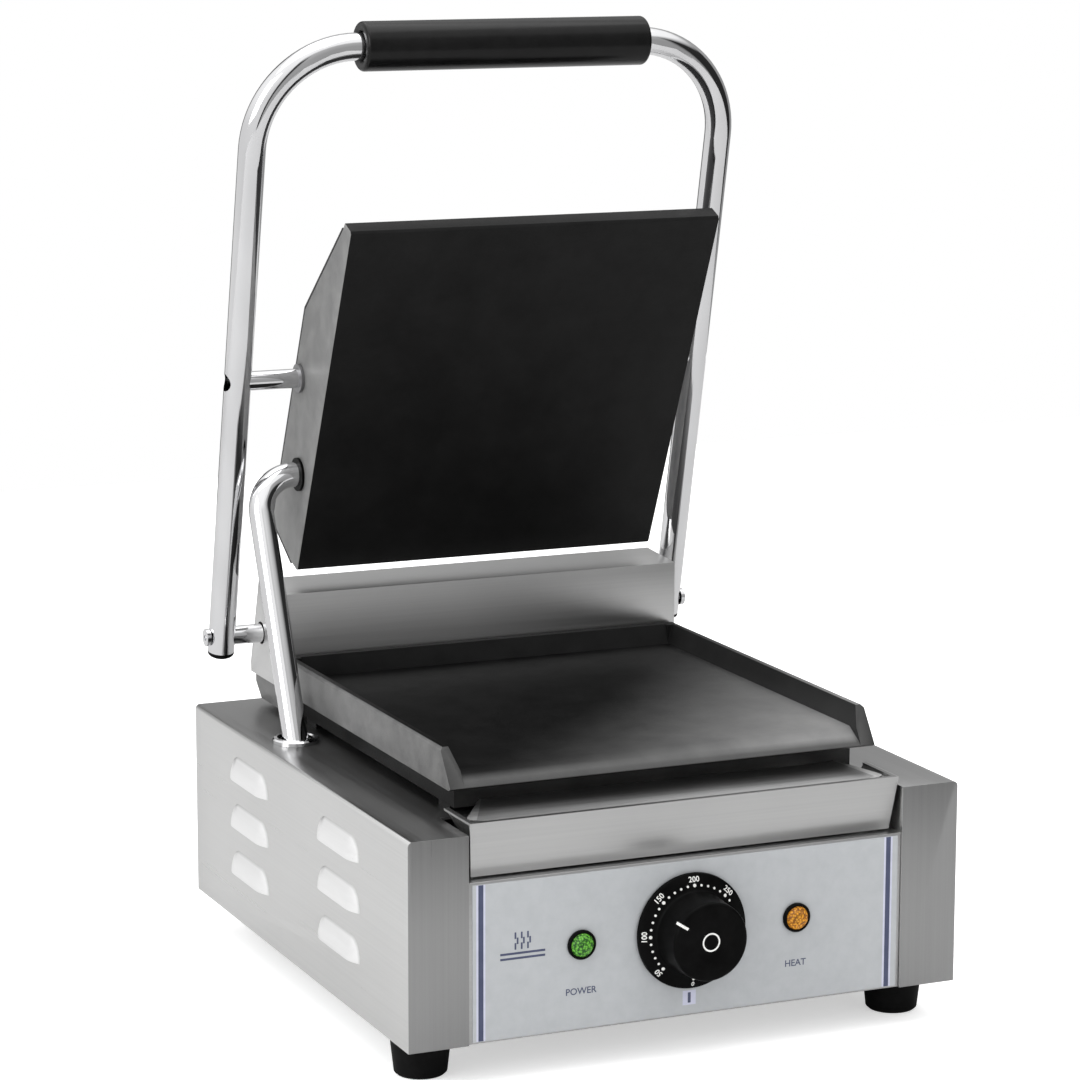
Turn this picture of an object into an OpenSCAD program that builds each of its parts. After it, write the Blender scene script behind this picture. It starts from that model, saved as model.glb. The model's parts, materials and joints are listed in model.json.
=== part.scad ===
// Single contact grill (panini press): stainless housing, cast plates, spring-balanced lid.
// Millimetres, +X to the right, +Y to the back, +Z up, feet on Z = 0.

/* [Housing] */
// Width of the housing
body_w = 290; // [286:1:294]
// Depth of the housing
body_d = 304; // [302:1:308]
// Height of the housing without its feet
body_h = 101.5; // [100:0.5:104]
// Height of the rubber feet
foot_h = 20; // [16:1:24]
// Thickness of the stainless sheet
sheet = 1.2; // [1:0.1:1.4]
// Width of each front column
column_w = 30.5; // [30:0.5:31]
// Depth of the notch in the top that the drip tray fills
notch_d = 36; // [34:1:38]

/* [Louvres] */
// Length of one louvre
louvre_l = 57; // [50:1:60]
// Height of one louvre on the panel
louvre_h = 12; // [10:0.5:13]
// How far a louvre stands out of the panel
louvre_out = 3.5; // [3:0.1:4]
// Height between louvre rows
louvre_pitch = 25; // [22:1:26]

/* [Control panel] */
// Height of the control panel
panel_h = 78.5; // [77:0.5:79]
// Height of the knob and lamps above the housing's bottom edge
control_z = 43; // [41:0.5:45]
// Distance of each lamp from the middle
lamp_x = 57; // [50:1:60]
// Diameter of the knob's dial skirt
dial_d = 57; // [50:1:60]
// Diameter of the knob's grip
grip_knob_d = 40; // [36:1:42]
// How far the knob stands out of the housing
knob_out = 23; // [20:1:25]

/* [Drip tray] */
// Depth of the drip tray from front to back
tray_d = 128; // [110:1:135]
// Height of the tray's front
tray_front_h = 27; // [25:0.5:28]

/* [Lower plate] */
// Width of the lower plate over its rim
plate_w = 226; // [224:1:228]
// Height of the cooking surface above the housing's top
plate_z = 23; // [22:0.5:24]
// Height of the raised rim above the cooking surface
rim_h = 10.3; // [8:0.1:12]

/* [Lid] */
// Width and length of the upper cooking face
platen = 203; // [200:1:204]
// Angle of the open upper cooking face from level
open_angle = 66; // [65:0.5:66]
// Distance between the handle's arms
arm_span = 260; // [258:1:262]
// How far the handle's middle lies to the left of the housing's middle
handle_shift = 5.5; // [5:0.5:6]
// Diameter of the handle's tube
tube_d = 14; // [13:0.5:14]
// Bend radius of the handle's corners
bend_r = 52; // [48:1:54]
// Diameter of the hinge axle
axle_d = 10; // [9:0.5:10]
// Diameter of the cable conduit tube
conduit_d = 13; // [12:0.5:13]

/* [Hidden] */
$fn = 48;

fit = 0.05;                         // gap between pieces that touch
z0 = foot_h;                        // bottom edge of the housing
z1 = z0 + body_h;                   // top of the housing
front_y = -body_d / 2;
back_y = body_d / 2;
gland_out = 16;                     // how far the cord gland stands out of the back
y_mid = (front_y - knob_out + back_y + gland_out) / 2;
opening_w = body_w - 2 * column_w;  // clear width between the front columns
cz = z0 + control_z;
panel_y = front_y + 1;              // front of the steel panel
film = 0.4;                         // thickness of the printed overlay
film_y = panel_y - film;

// Lower plate
plate_x = plate_w / 2;
cook_z = z1 + plate_z;
rim_z = cook_z + rim_h;
plate_front = -113;                 // front of the raised rims
plate_lip = -125.7;                 // lowest front edge of the drip lip
plate_back = 101.5;
skirt_in = 7;                       // how far the skirt under the plate is set in
tray_floor = z0 + panel_h + 3;      // underside of the drip tray's pan

// Lid: the axle and the stud, as [y, z]
axle = [135, z0 + 141];
stud = [104.5, z0 + 280.5];
stud_h = 35.6;                      // stud above the upper cooking face
stud_s = 106.2;                     // stud from the top edge of the open cooking face
stud_bush = 1.2;                    // wall of the bush round each stud
arm_x = arm_span / 2;
arm_lean = atan2(axle[0] - stud[0], stud[1] - axle[1]);
arm_top = 175.6;                     // from the stud to the middle of the grip, along the arm
platen_x = platen / 2;
stud_d = 10;
hump_h = 44;                        // depth of the upper platen with its cover
hump_a = 69;                        // where the hump starts, from the top edge
hump_b = 199;                       // where it ends
edge_h = 10.5;                      // thickness of the upper platen's thin edges
cover_t = 1.5;

// Conduit: its swivel and its ferrule, as [y, z]
swivel = [107.5, z0 + 229.6];
ferrule = [51.6, z1];
conduit_x = -125;
conduit_r = conduit_d / 2;
conduit_lean = atan2(swivel[0] - ferrule[0], swivel[1] - ferrule[1]);
conduit_bend = 20;
conduit_end = norm(swivel - ferrule) + 4.9;
ferrule_r = 9;

// Rear cover, half width and profile as [y, z]
cover_x = 113.7;
cover_low = z0 + 117;
cover_profile = [[103, cover_low], [103, z0 + 167.3], [137.5, z0 + 169.6], [151.8, z0 + 122],
  [151.5, cover_low]];

screw_d = 4;

// ---- helpers -------------------------------------------------------------------------------

// Moves a shape drawn about the middle of the housing into the part's frame
module placed() {
  translate([0, -y_mid, 0]) children();
}

// Extrudes an outline of [y, z] points along X, between -half and +half
module along_x(half) {
  translate([-half, 0, 0]) rotate([90, 0, 90]) linear_extrude(2 * half) children();
}

// A cylinder along X whose left end is at x
module rod_x(x, len, r, yz = [0, 0]) {
  translate([x, yz[0], yz[1]]) rotate([0, 90, 0]) cylinder(r = r, h = len);
}

// A cylinder along Y whose front end is at y
module rod_y(y, len, r, x = 0, z = 0) {
  translate([x, y, z]) rotate([-90, 0, 0]) cylinder(r = r, h = len);
}

// A shape on the left and its mirror image on the right
module both_sides() {
  children();
  mirror([1, 0, 0]) children();
}

// A rectangle with round corners, centred
module round_rect(w, h, r) {
  square([w, h - 2 * r], center = true);
  square([w - 2 * r, h], center = true);
  for (x = [-1, 1], y = [-1, 1]) translate([x * (w / 2 - r), y * (h / 2 - r)]) circle(r);
}

// A pan-head screw along -Z: its head stands on Z = 0
module pan_screw(d, len) {
  difference() {
    union() {
      cylinder(d = 1.9 * d, h = 0.35 * d);
      translate([0, 0, 0.35 * d]) cylinder(d1 = 1.9 * d, d2 = 1.1 * d, h = 0.3 * d);
      translate([0, 0, -len]) cylinder(d = d, h = len);
    }
    for (a = [0, 90]) rotate(a) translate([0, 0, 0.65 * d]) cube([1.1 * d, 0.18 * d, 0.5 * d],
      center = true);
  }
}

// A hexagon-head bolt along -Z
module hex_bolt(d, len) {
  cylinder(d = 1.75 * d, h = 0.65 * d, $fn = 6);
  translate([0, 0, -len]) cylinder(d = d, h = len);
}

// A wire or tube along straight runs with round joints
module run(points, d) {
  for (i = [0 : len(points) - 2]) {
    v = points[i + 1] - points[i];
    translate(points[i]) rotate([0, acos(v[2] / norm(v)), atan2(v[1], v[0])])
      cylinder(d = d, h = norm(v), $fn = 16);
  }
  for (p = points) translate(p) sphere(d = 1.12 * d, $fn = 16);
}

// Places a shape in the open upper platen: X across, Y from its top edge to its bottom edge
// along the cooking face, Z from the cooking face to its back
module on_platen() {
  placed() translate([0, stud[0], stud[1]]) rotate([-open_angle, 0, 0])
    translate([0, -stud_s, -stud_h]) children();
}

// Places a shape on the handle's arms: the stud is the origin, Z runs up along the arms
module on_arm() {
  placed() translate([-handle_shift, stud[0], stud[1]]) rotate([arm_lean, 0, 0]) children();
}

// Places a shape on the hinge axle's line
module on_axle() {
  placed() translate([0, axle[0], axle[1]]) children();
}

// Places a shape at the conduit's swivel with Z running up along the conduit
module on_conduit() {
  placed() translate([conduit_x, swivel[0], swivel[1]]) rotate([-conduit_lean, 0, 0]) children();
}

// ---- housing -------------------------------------------------------------------------------

louvre_rows = [for (i = [-1 : 1]) z0 + 55 + i * louvre_pitch];
louvre_columns = [-62, 66.5];
louvre_r = (pow(louvre_h, 2) + pow(louvre_out, 2)) / (2 * louvre_out);
louvre_sink = louvre_r - louvre_out;  // how far the middle of a louvre's section lies in the panel
louvre_slit = -4;                   // lower edge of a louvre from the middle of its row
flange = 12;                        // width of the housing's inner flanges
bolt_spots = [[-78, -60], [78, -60], [-78, 70], [78, 70]];
bracket_spots = [[-84, 112], [84, 112], [-84, 138], [84, 138]];
rear_screw_spots = [for (x = [-1, 1], z = [0.2, 0.8]) [x * (body_w / 2 - sheet - flange / 2),
  z0 + z * body_h]];
base_screw_y = [-95, 0, 95];
bulb_y = -4;                        // where the thermostat's bulb lies under the plate
gland_x = 100;
gland_z = z0 + 28;
gland_r = 8;

// The folded sheet's outline, with round upper corners
module wrap_outline(w, h, r) {
  translate([-w / 2, 0]) square([w, h - r]);
  translate([r - w / 2, 0]) square([w - 2 * r, h]);
  for (x = [-1, 1]) translate([x * (w / 2 - r), h - r]) circle(r);
}

// A solid or hollow of that outline along the housing's depth
module wrap(w, low, h, r, y, len) {
  translate([0, y + len, low]) rotate([90, 0, 0]) linear_extrude(len) wrap_outline(w, h, r);
}

// A rounded bar along Y, the form of one louvre
module louvre_bar(r) {
  straight = louvre_l - 2 * louvre_h;
  rod_y(-straight / 2, straight, r);
  for (s = [-1, 1]) translate([0, s * straight / 2, 0]) sphere(r);
}

// The space above a louvre's slit, down to a depth in the left panel
module above_slit(depth) {
  translate([-louvre_out - 1, -louvre_l, 0]) cube([louvre_out + 1 + depth, 2 * louvre_l, 2 * louvre_h]);
}

// One louvre's pressed lip on the left panel: a shallow hood open along its lower edge
module louvre() {
  difference() {
    intersection() {
      translate([louvre_sink, 0, 0]) louvre_bar(louvre_r);
      above_slit(sheet / 2);
    }
    translate([louvre_sink, 0, 0]) louvre_bar(louvre_r - 1);
  }
}

module at_louvres() {
  for (y = louvre_columns, z = louvre_rows) translate([-body_w / 2, y, z + louvre_slit]) children();
}

module housing_shell() color("silver") placed() {
  difference() {
    wrap(body_w, z0, body_h, 2.4, front_y, body_d);
    wrap(body_w - 2 * sheet, z0 - 1, body_h - sheet + 1, 1.2, front_y + sheet, body_d);
    translate([-opening_w / 2, front_y - 1, z0 - 1]) cube([opening_w, sheet + 2, body_h + 2]);
    translate([-opening_w / 2, front_y - 1, z1 - 5]) cube([opening_w, notch_d + 1, 6]);
    both_sides() at_louvres() intersection() {
      translate([louvre_sink, 0, 0]) louvre_bar(louvre_r - 1);
      above_slit(2 * sheet);
    }
    for (p = concat(bolt_spots, bracket_spots)) translate([p[0], p[1], z1 - 5]) cylinder(r = 2.6, h = 6);
    translate([0, bulb_y, z1 - 5]) cylinder(r = 14, h = 6);
    translate([conduit_x, ferrule[0], z1 - 5]) cylinder(r = ferrule_r, h = 6);
  }
  both_sides() {
    at_louvres() louvre();
    translate([-opening_w / 2 - sheet, front_y + sheet, z0]) cube([sheet, flange, body_h - sheet]);
    difference() {
      translate([-body_w / 2 + sheet, back_y - 2 * sheet - 0.2, z0]) cube([flange, sheet, body_h - sheet]);
      for (p = rear_screw_spots) rod_y(back_y - 5, 6, screw_d / 2 + 0.05, p[0], p[1]);
    }
    difference() {
      translate([-body_w / 2 + sheet, front_y + 18, z0 + sheet + 0.2]) cube([10, body_d - 30, sheet]);
      for (y = base_screw_y) translate([-body_w / 2 + 6, y, z0]) cylinder(r = screw_d / 2 + 0.05, h = 5);
    }
  }
}

module rear_panel() color("silver") placed() {
  w = body_w - 2 * sheet - 0.2;
  difference() {
    translate([-w / 2, back_y - sheet - 0.1, z0 + 0.1]) cube([w, sheet, body_h - sheet - 0.2]);
    for (p = rear_screw_spots) rod_y(back_y - 5, 8, screw_d / 2 + 0.05, p[0], p[1]);
    for (i = [-3 : 3]) translate([i * 12 - 30, back_y, z0 + 62]) rotate([90, 0, 0])
      linear_extrude(6, center = true)
      round_rect(4, 36, 1.9);
    rod_y(back_y - 5, 8, gland_r + 0.1, gland_x, gland_z);
  }
}

module rear_panel_screws() color("lightgray") placed() {
  for (p = rear_screw_spots) translate([p[0], back_y - 0.1, p[1]]) rotate([-90, 0, 0])
    pan_screw(screw_d, 6);
}

module base_plate() color("darkgray") placed() {
  w = body_w - 2 * sheet - 0.2;
  difference() {
    translate([-w / 2, front_y + 16, z0 + 0.1]) cube([w, body_d - 22, sheet]);
    both_sides() {
      for (y = base_screw_y) translate([-body_w / 2 + 6, y, z0 - 1])
        cylinder(r = screw_d / 2 + 0.05, h = 5);
      for (p = foot_spots) translate([-p[0], p[1], z0 - 1]) cylinder(r = screw_d / 2 + 0.05, h = 5);
    }
    for (i = [-5 : 5], y = [-40, 30]) translate([i * 16, y, z0 - 1]) linear_extrude(5)
      round_rect(5, 50, 2.4);
    translate([conduit_x, ferrule[0] + 25, z0 - 1]) cylinder(r = 10, h = 5);
  }
}

module base_screws() color("lightgray") placed() {
  both_sides() for (y = base_screw_y)
    translate([-body_w / 2 + 6, y, z0 + 0.1]) rotate([180, 0, 0]) pan_screw(screw_d, 5);
}

// ---- feet ----------------------------------------------------------------------------------

foot_spots = [[127, -122], [98, 104]];  // a front foot and a back foot, as [x, y]

module at_feet() {
  placed() for (s = [-1, 1], p = foot_spots) translate([s * p[0], p[1], 0]) children();
}

module feet() color("black") at_feet() difference() {
  rotate_extrude() {
    polygon([[0, 0], [11.5, 0], [12.8, 1.2], [14.6, foot_h - 3], [14.6, foot_h - 1], [13.8, foot_h],
      [0, foot_h]]);
  }
  translate([0, 0, -1]) cylinder(r = screw_d + 1.5, h = 9);
  cylinder(r = screw_d / 2 + 0.05, h = foot_h + 1);
}

module foot_screws() color("lightgray") at_feet()
  translate([0, 0, 8]) rotate([180, 0, 0]) pan_screw(screw_d, foot_h - 8 + 6);

// ---- control panel -------------------------------------------------------------------------

bush_r = 5;
lamp_r = 5;
spindle_r = 3;

module panel_holes() {
  rod_y(front_y - 5, 12, bush_r + fit, 0, cz);
  for (x = [-lamp_x, lamp_x]) rod_y(front_y - 5, 12, lamp_r + fit, x, cz - 0.5);
}

module control_panel() color("gainsboro") placed() difference() {
  w = opening_w - 0.4;
  union() {
    translate([-w / 2, panel_y, z0 + 0.3]) cube([w, sheet, panel_h - 0.3]);
    translate([-w / 2, panel_y, z0 + panel_h - sheet]) cube([w, 15, sheet]);
    translate([-w / 2, panel_y, z0 + 0.3]) cube([w, 14, sheet]);
  }
  panel_holes();
}

module fascia_overlay() color("lightsteelblue") placed() difference() {
  w = opening_w - 4;
  translate([-w / 2, film_y, z0 + 1.2]) cube([w, film, panel_h - 2.4]);
  panel_holes();
}

module thermostat_body() color("dimgray") placed() difference() {
  union() {
    rod_y(film_y - 0.3, 3, bush_r, 0, cz);
    rod_y(panel_y + sheet + fit, 4, 9, 0, cz);
    rod_y(panel_y + sheet + fit + 3, 18, 17, 0, cz);
    translate([-15, panel_y + sheet + 20, cz - 12]) cube([30, 14, 24]);
    for (x = [-9, 9]) translate([x - 3, panel_y + sheet + 33, cz - 4]) cube([6, 9, 0.8]);
  }
  rod_y(film_y - 2, 22, spindle_r + fit, 0, cz);
}

// The thin tube and the bulb that feel the heat of the lower plate
module sensor_capillary() color("goldenrod") placed() {
  start = panel_y + sheet + 22;
  low = tray_floor - 8;
  run([[0, start, cz + 12.8], [0, start, cz + 20], [0, -100, low], [0, bulb_y, low],
    [0, bulb_y, z1 + 6]], 2);
  rod_x(-32, 64, 3, [bulb_y, z1 + 8.5]);
}

module thermostat_spindle() color("lightgray") placed() difference() {
  rod_y(film_y - 17, 34, spindle_r, 0, cz);
  translate([-4, film_y - 18, cz + 2]) cube([8, 13, 4]);
}

// One moulded knob: a dial skirt and a hollow grip round a hub
module thermostat_knob() color("black") placed() translate([0, film_y - 0.6, cz]) rotate([90, 0, 0]) {
  top = film_y - 0.6 - front_y + knob_out;
  sr = dial_d / 2;
  gr = grip_knob_d / 2;
  rotate_extrude($fn = 72) polygon([
    [spindle_r + fit, 0.4], [6.5, 0.4], [6.5, top - 3], [gr - 3.4, top - 3], [gr - 2.6, 2],
      [sr - 2, 1.2], [sr - 2, 0],
    [sr - 0.4, 0], [sr, 0.5], [sr, 1.6], [sr - 0.9, 2.7], [gr + 2.2, 4.4], [gr + 0.6, 5], [gr, 6],
    [gr - 0.9, top - 1.6], [gr - 1.4, top - 0.5], [gr - 2.4, top], [spindle_r + fit, top]
  ]);
  translate([0, 0, top - 3]) cylinder(r = spindle_r + 1, h = 3);
}

// A lamp's black holder with its barrel behind the panel
module lamp_holder(x) color("black") placed() translate([x, film_y, cz - 0.5]) rotate([90, 0, 0])
  rotate_extrude() polygon([
    [0, -30], [lamp_r - 0.6, -30], [lamp_r, -29], [lamp_r, fit], [7, fit], [7.2, 0.2], [7.2, 1.4],
      [6.6, 2], [5.9, 2],
    [5.9, 0.8], [0, 0.8]
  ]);

// A lamp's domed lens
module lamp_lens(x, c) color(c) placed() translate([x, film_y - 0.8 - fit, cz - 0.5]) rotate([90, 0, 0])
  rotate_extrude() polygon(concat([[0, 0], [5.8, 0]], [for (a = [0 : 15 : 90])
    [5.8 * cos(a), 1.6 + 2.2 * sin(a)]]));

module power_lamp_holder() lamp_holder(-lamp_x);
module heat_lamp_holder() lamp_holder(lamp_x);
module power_lamp_lens() lamp_lens(-lamp_x, "green");
module heat_lamp_lens() lamp_lens(lamp_x, "orange");

// ---- drip tray -----------------------------------------------------------------------------

tray_top = z1 + 5;
tray_low = tray_top - tray_front_h;
tray_x = opening_w / 2 - 1.4;
pan_x = opening_w / 2 - 12;
rim_x = tray_x - 2;                 // half width of the tray's mouth
pan_top = z1 - sheet - 4;
hem = 1.1;                          // thickness of the tray's sheet

// A length of channel along Y, its half width given at the floor and at the top
module channel(y, len, low_x, top_x, top) {
  translate([0, y + len, 0]) rotate([90, 0, 0]) linear_extrude(len) polygon([
    [-top_x - hem, top], [-low_x - hem, tray_floor], [low_x + hem, tray_floor], [top_x + hem, top],
      [top_x, top],
    [low_x, tray_floor + hem], [-low_x, tray_floor + hem], [-top_x, top]
  ]);
}

// Splash guard over the tray: its left end's corners, from the front outer one round to the back
guard = [[-110.2, -138, z0 + 105.3], [-96.8, -140.7, z0 + 104], [-83, -117.5, z0 + 108.5],
  [-94.8, -117.5, z0 + 109]];

// A sheet 1 mm thick under four corners
module guard_sheet(p) {
  polyhedron(concat([for (q = p) q - [0, 0, 1]], p), [[0, 1, 2], [0, 2, 3], [7, 6, 5], [7, 5, 4],
    [0, 4, 5, 1], [1, 5, 6, 2], [2, 6, 7, 3], [3, 7, 4, 0]]);
}

module guard_end() {
  guard_sheet(guard);
}

module guard_middle() {
  low = guard[1];
  high = guard[2];
  guard_sheet([low, [-low[0], low[1], low[2]], [-high[0], high[1], high[2]], high]);
}

// The front leans back at its foot; the pan behind it has sloping ends
module drip_tray() color("silver") placed() {
  front = front_y + 2;
  lean = 5 / tray_front_h;
  floor_x = pan_x - 6;
  difference() {
    union() {
      along_x(tray_x) polygon([
        [front, tray_top], [front + hem, tray_top], [front + 5 + hem, tray_low], [front + 5, tray_low]
      ]);
      translate([-tray_x, front, tray_top - hem]) cube([2 * tray_x, 3, hem]);
      both_sides() {
        translate([-tray_x, front, tray_top - hem]) cube([2.6, 32, hem]);
        guard_end();
      }
      channel(front, 32, floor_x, rim_x, tray_top - hem / 2);
      guard_middle();
      channel(front + 31, tray_d - 31, floor_x, floor_x + 0.6, pan_top);
      translate([-floor_x - hem / 2, front + tray_d - hem, tray_floor])
        cube([2 * floor_x + hem, hem, pan_top - tray_floor - 1]);
    }
    along_x(tray_x + 5) polygon([
      [front - 9, tray_top + 5], [front - 5 * lean, tray_top + 5], [front + 5 + 5 * lean, tray_low - 5],
      [front - 9, tray_low - 5]
    ]);
    both_sides() translate([0, front + 15, 0]) rotate([90, 0, 0]) linear_extrude(20) polygon([
      [-tray_x - 2, tray_low - 2], [-tray_x + 2.6, tray_low - 2], [-tray_x, tray_top],
        [-tray_x - 2, tray_top]
    ]);
  }
}

// Two angle rails under the housing's top that carry the tray's pan
module tray_guides() color("gray") placed() both_sides() {
  x = -pan_x - 3.6;
  low = tray_floor - 1.3;
  translate([x, front_y + 20, low]) cube([12, 150, 1]);
  translate([x, front_y + 20 + notch_d, low]) cube([1, 150 - notch_d, z1 - sheet - fit - low]);
  translate([x - 8, front_y + 20 + notch_d, z1 - sheet - fit - 1]) cube([9, 150 - notch_d, 1]);
}

// ---- lower plate ---------------------------------------------------------------------------

module lower_plate() color([0.12, 0.12, 0.12]) placed() difference() {
  rim_t = 4;
  rim_chamfer = 1.5;
  skirt_x = plate_x - skirt_in;
  skirt_low = z1 + 3;
  body_low = cook_z - 8.5;
  union() {
    along_x(plate_x) polygon([
      [plate_front, rim_z], [plate_lip, body_low + 1], [plate_lip + 2, body_low],
        [plate_back, body_low], [plate_back, rim_z]
    ]);
    translate([-skirt_x, plate_front, skirt_low]) cube([2 * skirt_x,
      plate_back - plate_front - skirt_in, 13]);
  }
  // basin between the rims: its walls slope, and it runs out over the front lip
  translate([0, -200, 0]) rotate([-90, 0, 0]) mirror([0, 1, 0])
    linear_extrude(plate_back - rim_t - 3 + 200) polygon([
    [-plate_x + rim_t, rim_z + 1], [-plate_x + rim_t + 3.5, cook_z], [plate_x - rim_t - 3.5, cook_z],
    [plate_x - rim_t, rim_z + 1]
  ]);
  translate([0, plate_back - rim_t - 3, 0]) along_x(plate_x - rim_t - 3.5)
    polygon([[-1, cook_z], [0, cook_z], [3, rim_z + 1], [-1, rim_z + 1]]);
  // bevel of the front lip
  along_x(plate_x - rim_t - 3.5) polygon([
    [plate_front - 1, cook_z + 1], [plate_front, cook_z], [plate_lip, body_low + 1.2],
      [plate_lip - 5, body_low + 1.2],
    [plate_lip - 5, cook_z + 1]
  ]);
  // chamfer along the outer top edges of the rims
  both_sides() translate([-plate_x, 0, rim_z]) rotate([0, -45, 0])
    cube([2 * rim_chamfer, 300, 1.414 * rim_chamfer], center = true);
  // recess for the element and its clamp, and the bolt holes
  translate([-skirt_x + 8, plate_front + 8, skirt_low - 1]) cube([2 * skirt_x - 16,
    plate_back - plate_front - skirt_in - 16, 12]);
  for (p = bolt_spots) translate([p[0], p[1], z1]) cylinder(r = 2.1, h = 18);
}

// Spacers between the housing's top and the plate
module plate_spacers() color("black") placed() {
  for (x = [-1, 1], y = [plate_front + 6, plate_back - skirt_in - 20])
    translate([x * (plate_x - skirt_in - 5.5) - 5, y, z1 + fit]) cube([10, 14, 3 - 2 * fit]);
  for (p = bolt_spots) translate([p[0], p[1], z1 + fit]) difference() {
    cylinder(r = 7, h = 3);
    translate([0, 0, -1]) cylinder(r = 2.7, h = 6);
  }
}

module plate_bolts() color("lightgray") placed() for (p = bolt_spots)
  translate([p[0], p[1], z1 - sheet - fit]) mirror([0, 0, 1]) hex_bolt(4, 19);

// A heating element: parallel runs joined by round bends, with two cold ends
module element(w, pitch, rows, d) {
  for (i = [0 : rows - 1]) {
    y = (i - (rows - 1) / 2) * pitch;
    rod_x(-w / 2, w, d / 2, [y, 0]);
    if (i < rows - 1) translate([(i % 2 == 0 ? 1 : -1) * w / 2, y + pitch / 2, 0])
      rotate(i % 2 == 0 ? -90 : 90) rotate_extrude(angle = 180) translate([pitch / 2, 0])
        circle(d / 2, $fn = 20);
  }
}

module lower_element() color("dimgray") placed() translate([0, -4, z1 + 10.7]) {
  element(140, 44, 4, 6.4);
  for (y = [-66, 66]) translate([-70, y, 0]) rotate([0, -90, 0]) cylinder(d = 5, h = 14);
}

module lower_clamp_plate() color("gray") placed() difference() {
  translate([-88, plate_front + 20, z1 + 4.2]) cube([176, 176, 1.2]);
  for (p = bolt_spots) translate([p[0], p[1], z1 + 3]) cylinder(r = 7.2, h = 4);
  translate([0, bulb_y, z1 + 3]) cylinder(r = 5, h = 4);
}

// ---- hinge and rear cover ------------------------------------------------------------------

axle_r = axle_d / 2;
bush_wall = 2.5;
ear_x = 98;
ear_t = 8;
ear_r = axle_r + bush_wall + 1.4;
cover_screw_x = 70;

// Cast bracket: a hollow foot block with an ear at each end for the axle
module hinge_bracket() color([0.15, 0.15, 0.15]) placed() {
  half = cover_x - 2;
  difference() {
    along_x(half) polygon([
      [105, z0 + 104.2], [141, z0 + 104.2], [149.5, z0 + 112], [149.5, cover_low - fit],
        [105, cover_low - fit]
    ]);
    translate([-half + 6, 111, z0 + 100]) cube([2 * half - 12, 28, 12]);
    for (p = bracket_spots) translate([p[0], p[1], z0 + 100]) cylinder(r = 2.1, h = 30);
  }
  for (p = bracket_spots) translate([p[0], p[1], z1 + fit]) difference() {
    cylinder(r = 6, h = 11);
    translate([0, 0, -1]) cylinder(r = 2.1, h = 20);
  }
  both_sides() difference() {
    translate([-ear_x - ear_t / 2, 0, 0]) along_x(ear_t / 2) {
      polygon([[114, cover_low - 1], [145, cover_low - 1], [axle[0] + ear_r, axle[1]], [axle[0] - ear_r,
        axle[1]]]);
      translate(axle) circle(ear_r);
    }
    rod_x(-ear_x - ear_t - 1, ear_t + 2, axle_r + bush_wall, axle);
  }
  for (x = [-cover_screw_x, cover_screw_x]) difference() {
    translate([x - 5, 144, cover_low - 1]) cube([10, 5.8, 9]);
    rod_y(140, 20, screw_d / 2 + 0.05, x, cover_low + 3);
  }
}

module hinge_bracket_bolts() color("lightgray") placed() for (p = bracket_spots)
  translate([p[0], p[1], z1 - sheet - fit]) mirror([0, 0, 1]) hex_bolt(4, 11);

// Folded stainless box over the hinge springs
module rear_cover() color("silver") placed() difference() {
  along_x(cover_x) polygon(cover_profile);
  along_x(cover_x - sheet) polygon([
    [103 + sheet, cover_low - 1], [103 + sheet, z0 + 167.3 - sheet], [136.6, z0 + 169.6 - sheet * 1.1],
    [151.8 - sheet * 1.05, z0 + 122], [151.5 - sheet * 1.05, cover_low - 1]
  ]);
  rod_x(-cover_x - 1, 2 * cover_x + 2, axle_r + 1, axle);
  for (x = [-cover_screw_x, cover_screw_x]) rod_y(140, 20, screw_d / 2 + 0.05, x, cover_low + 3);
}

module rear_cover_screws() color("lightgray") placed() for (x = [-cover_screw_x, cover_screw_x])
  translate([x, 151.8, cover_low + 3]) rotate([-90, 0, 0]) pan_screw(screw_d, 4);

module axle_bushes() color("goldenrod") on_axle() both_sides() difference() {
  union() {
    rod_x(-ear_x - ear_t + fit, ear_t, axle_r + bush_wall - fit);
    rod_x(-ear_x + fit, 1.5, axle_r + bush_wall + 1);
  }
  rod_x(-ear_x - ear_t - 1, ear_t + 6, axle_r + fit);
}

module hinge_axle() color("silver") on_axle() difference() {
  rod_x(-arm_x + 1 - handle_shift, arm_span - 2, axle_r);
  for (x = [-arm_x, arm_x - 14]) rod_x(x - handle_shift, 14, screw_d / 2 + fit);
}

// Coiled torsion springs round the axle, each with two straight legs
spring_r = 6.9;
spring_wire = 2.4;
spring_turns = 9;
spring_pitch = 2.7;
spring_steps = 14;

// Ring of points round a centre at one station of the coil
function coil_ring(a, x) = [for (k = [0 : 7]) let (q = 45 * k, r = spring_r + spring_wire / 2 * cos(q))
  [x + spring_wire / 2 * sin(q), r * cos(a), r * sin(a)]];

module coil(x) {
  n = spring_turns * spring_steps;
  points = [for (i = [0 : n]) each coil_ring(-360 * i / spring_steps, x + spring_pitch * i / spring_steps)];
  sides = [for (i = [0 : n - 1], k = [0 : 7])
    [8 * i + k, 8 * i + (k + 1) % 8, 8 * i + 8 + (k + 1) % 8, 8 * i + 8 + k]];
  polyhedron(points, concat(sides, [[7, 6, 5, 4, 3, 2, 1, 0]], [[for (k = [0 : 7]) 8 * n + k]]));
}

module torsion_springs() color("dimgray") on_axle() for (x = [-88, 58]) coil(x);

module spring_collars() color("dimgray") on_axle() for (x = [-48, 40]) difference() {
  rod_x(x, 8, 8);
  rod_x(x - 1, 10, axle_r + fit);
}

// ---- handle frame --------------------------------------------------------------------------

tube_r = tube_d / 2;
tube_in = tube_r - 1.5;
stud_hole_r = 4.6;                  // hole in the arm's outer side for the stud's screw
arm_low = -norm(stud - axle) - 8;
straight_top = arm_top - bend_r;

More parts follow.
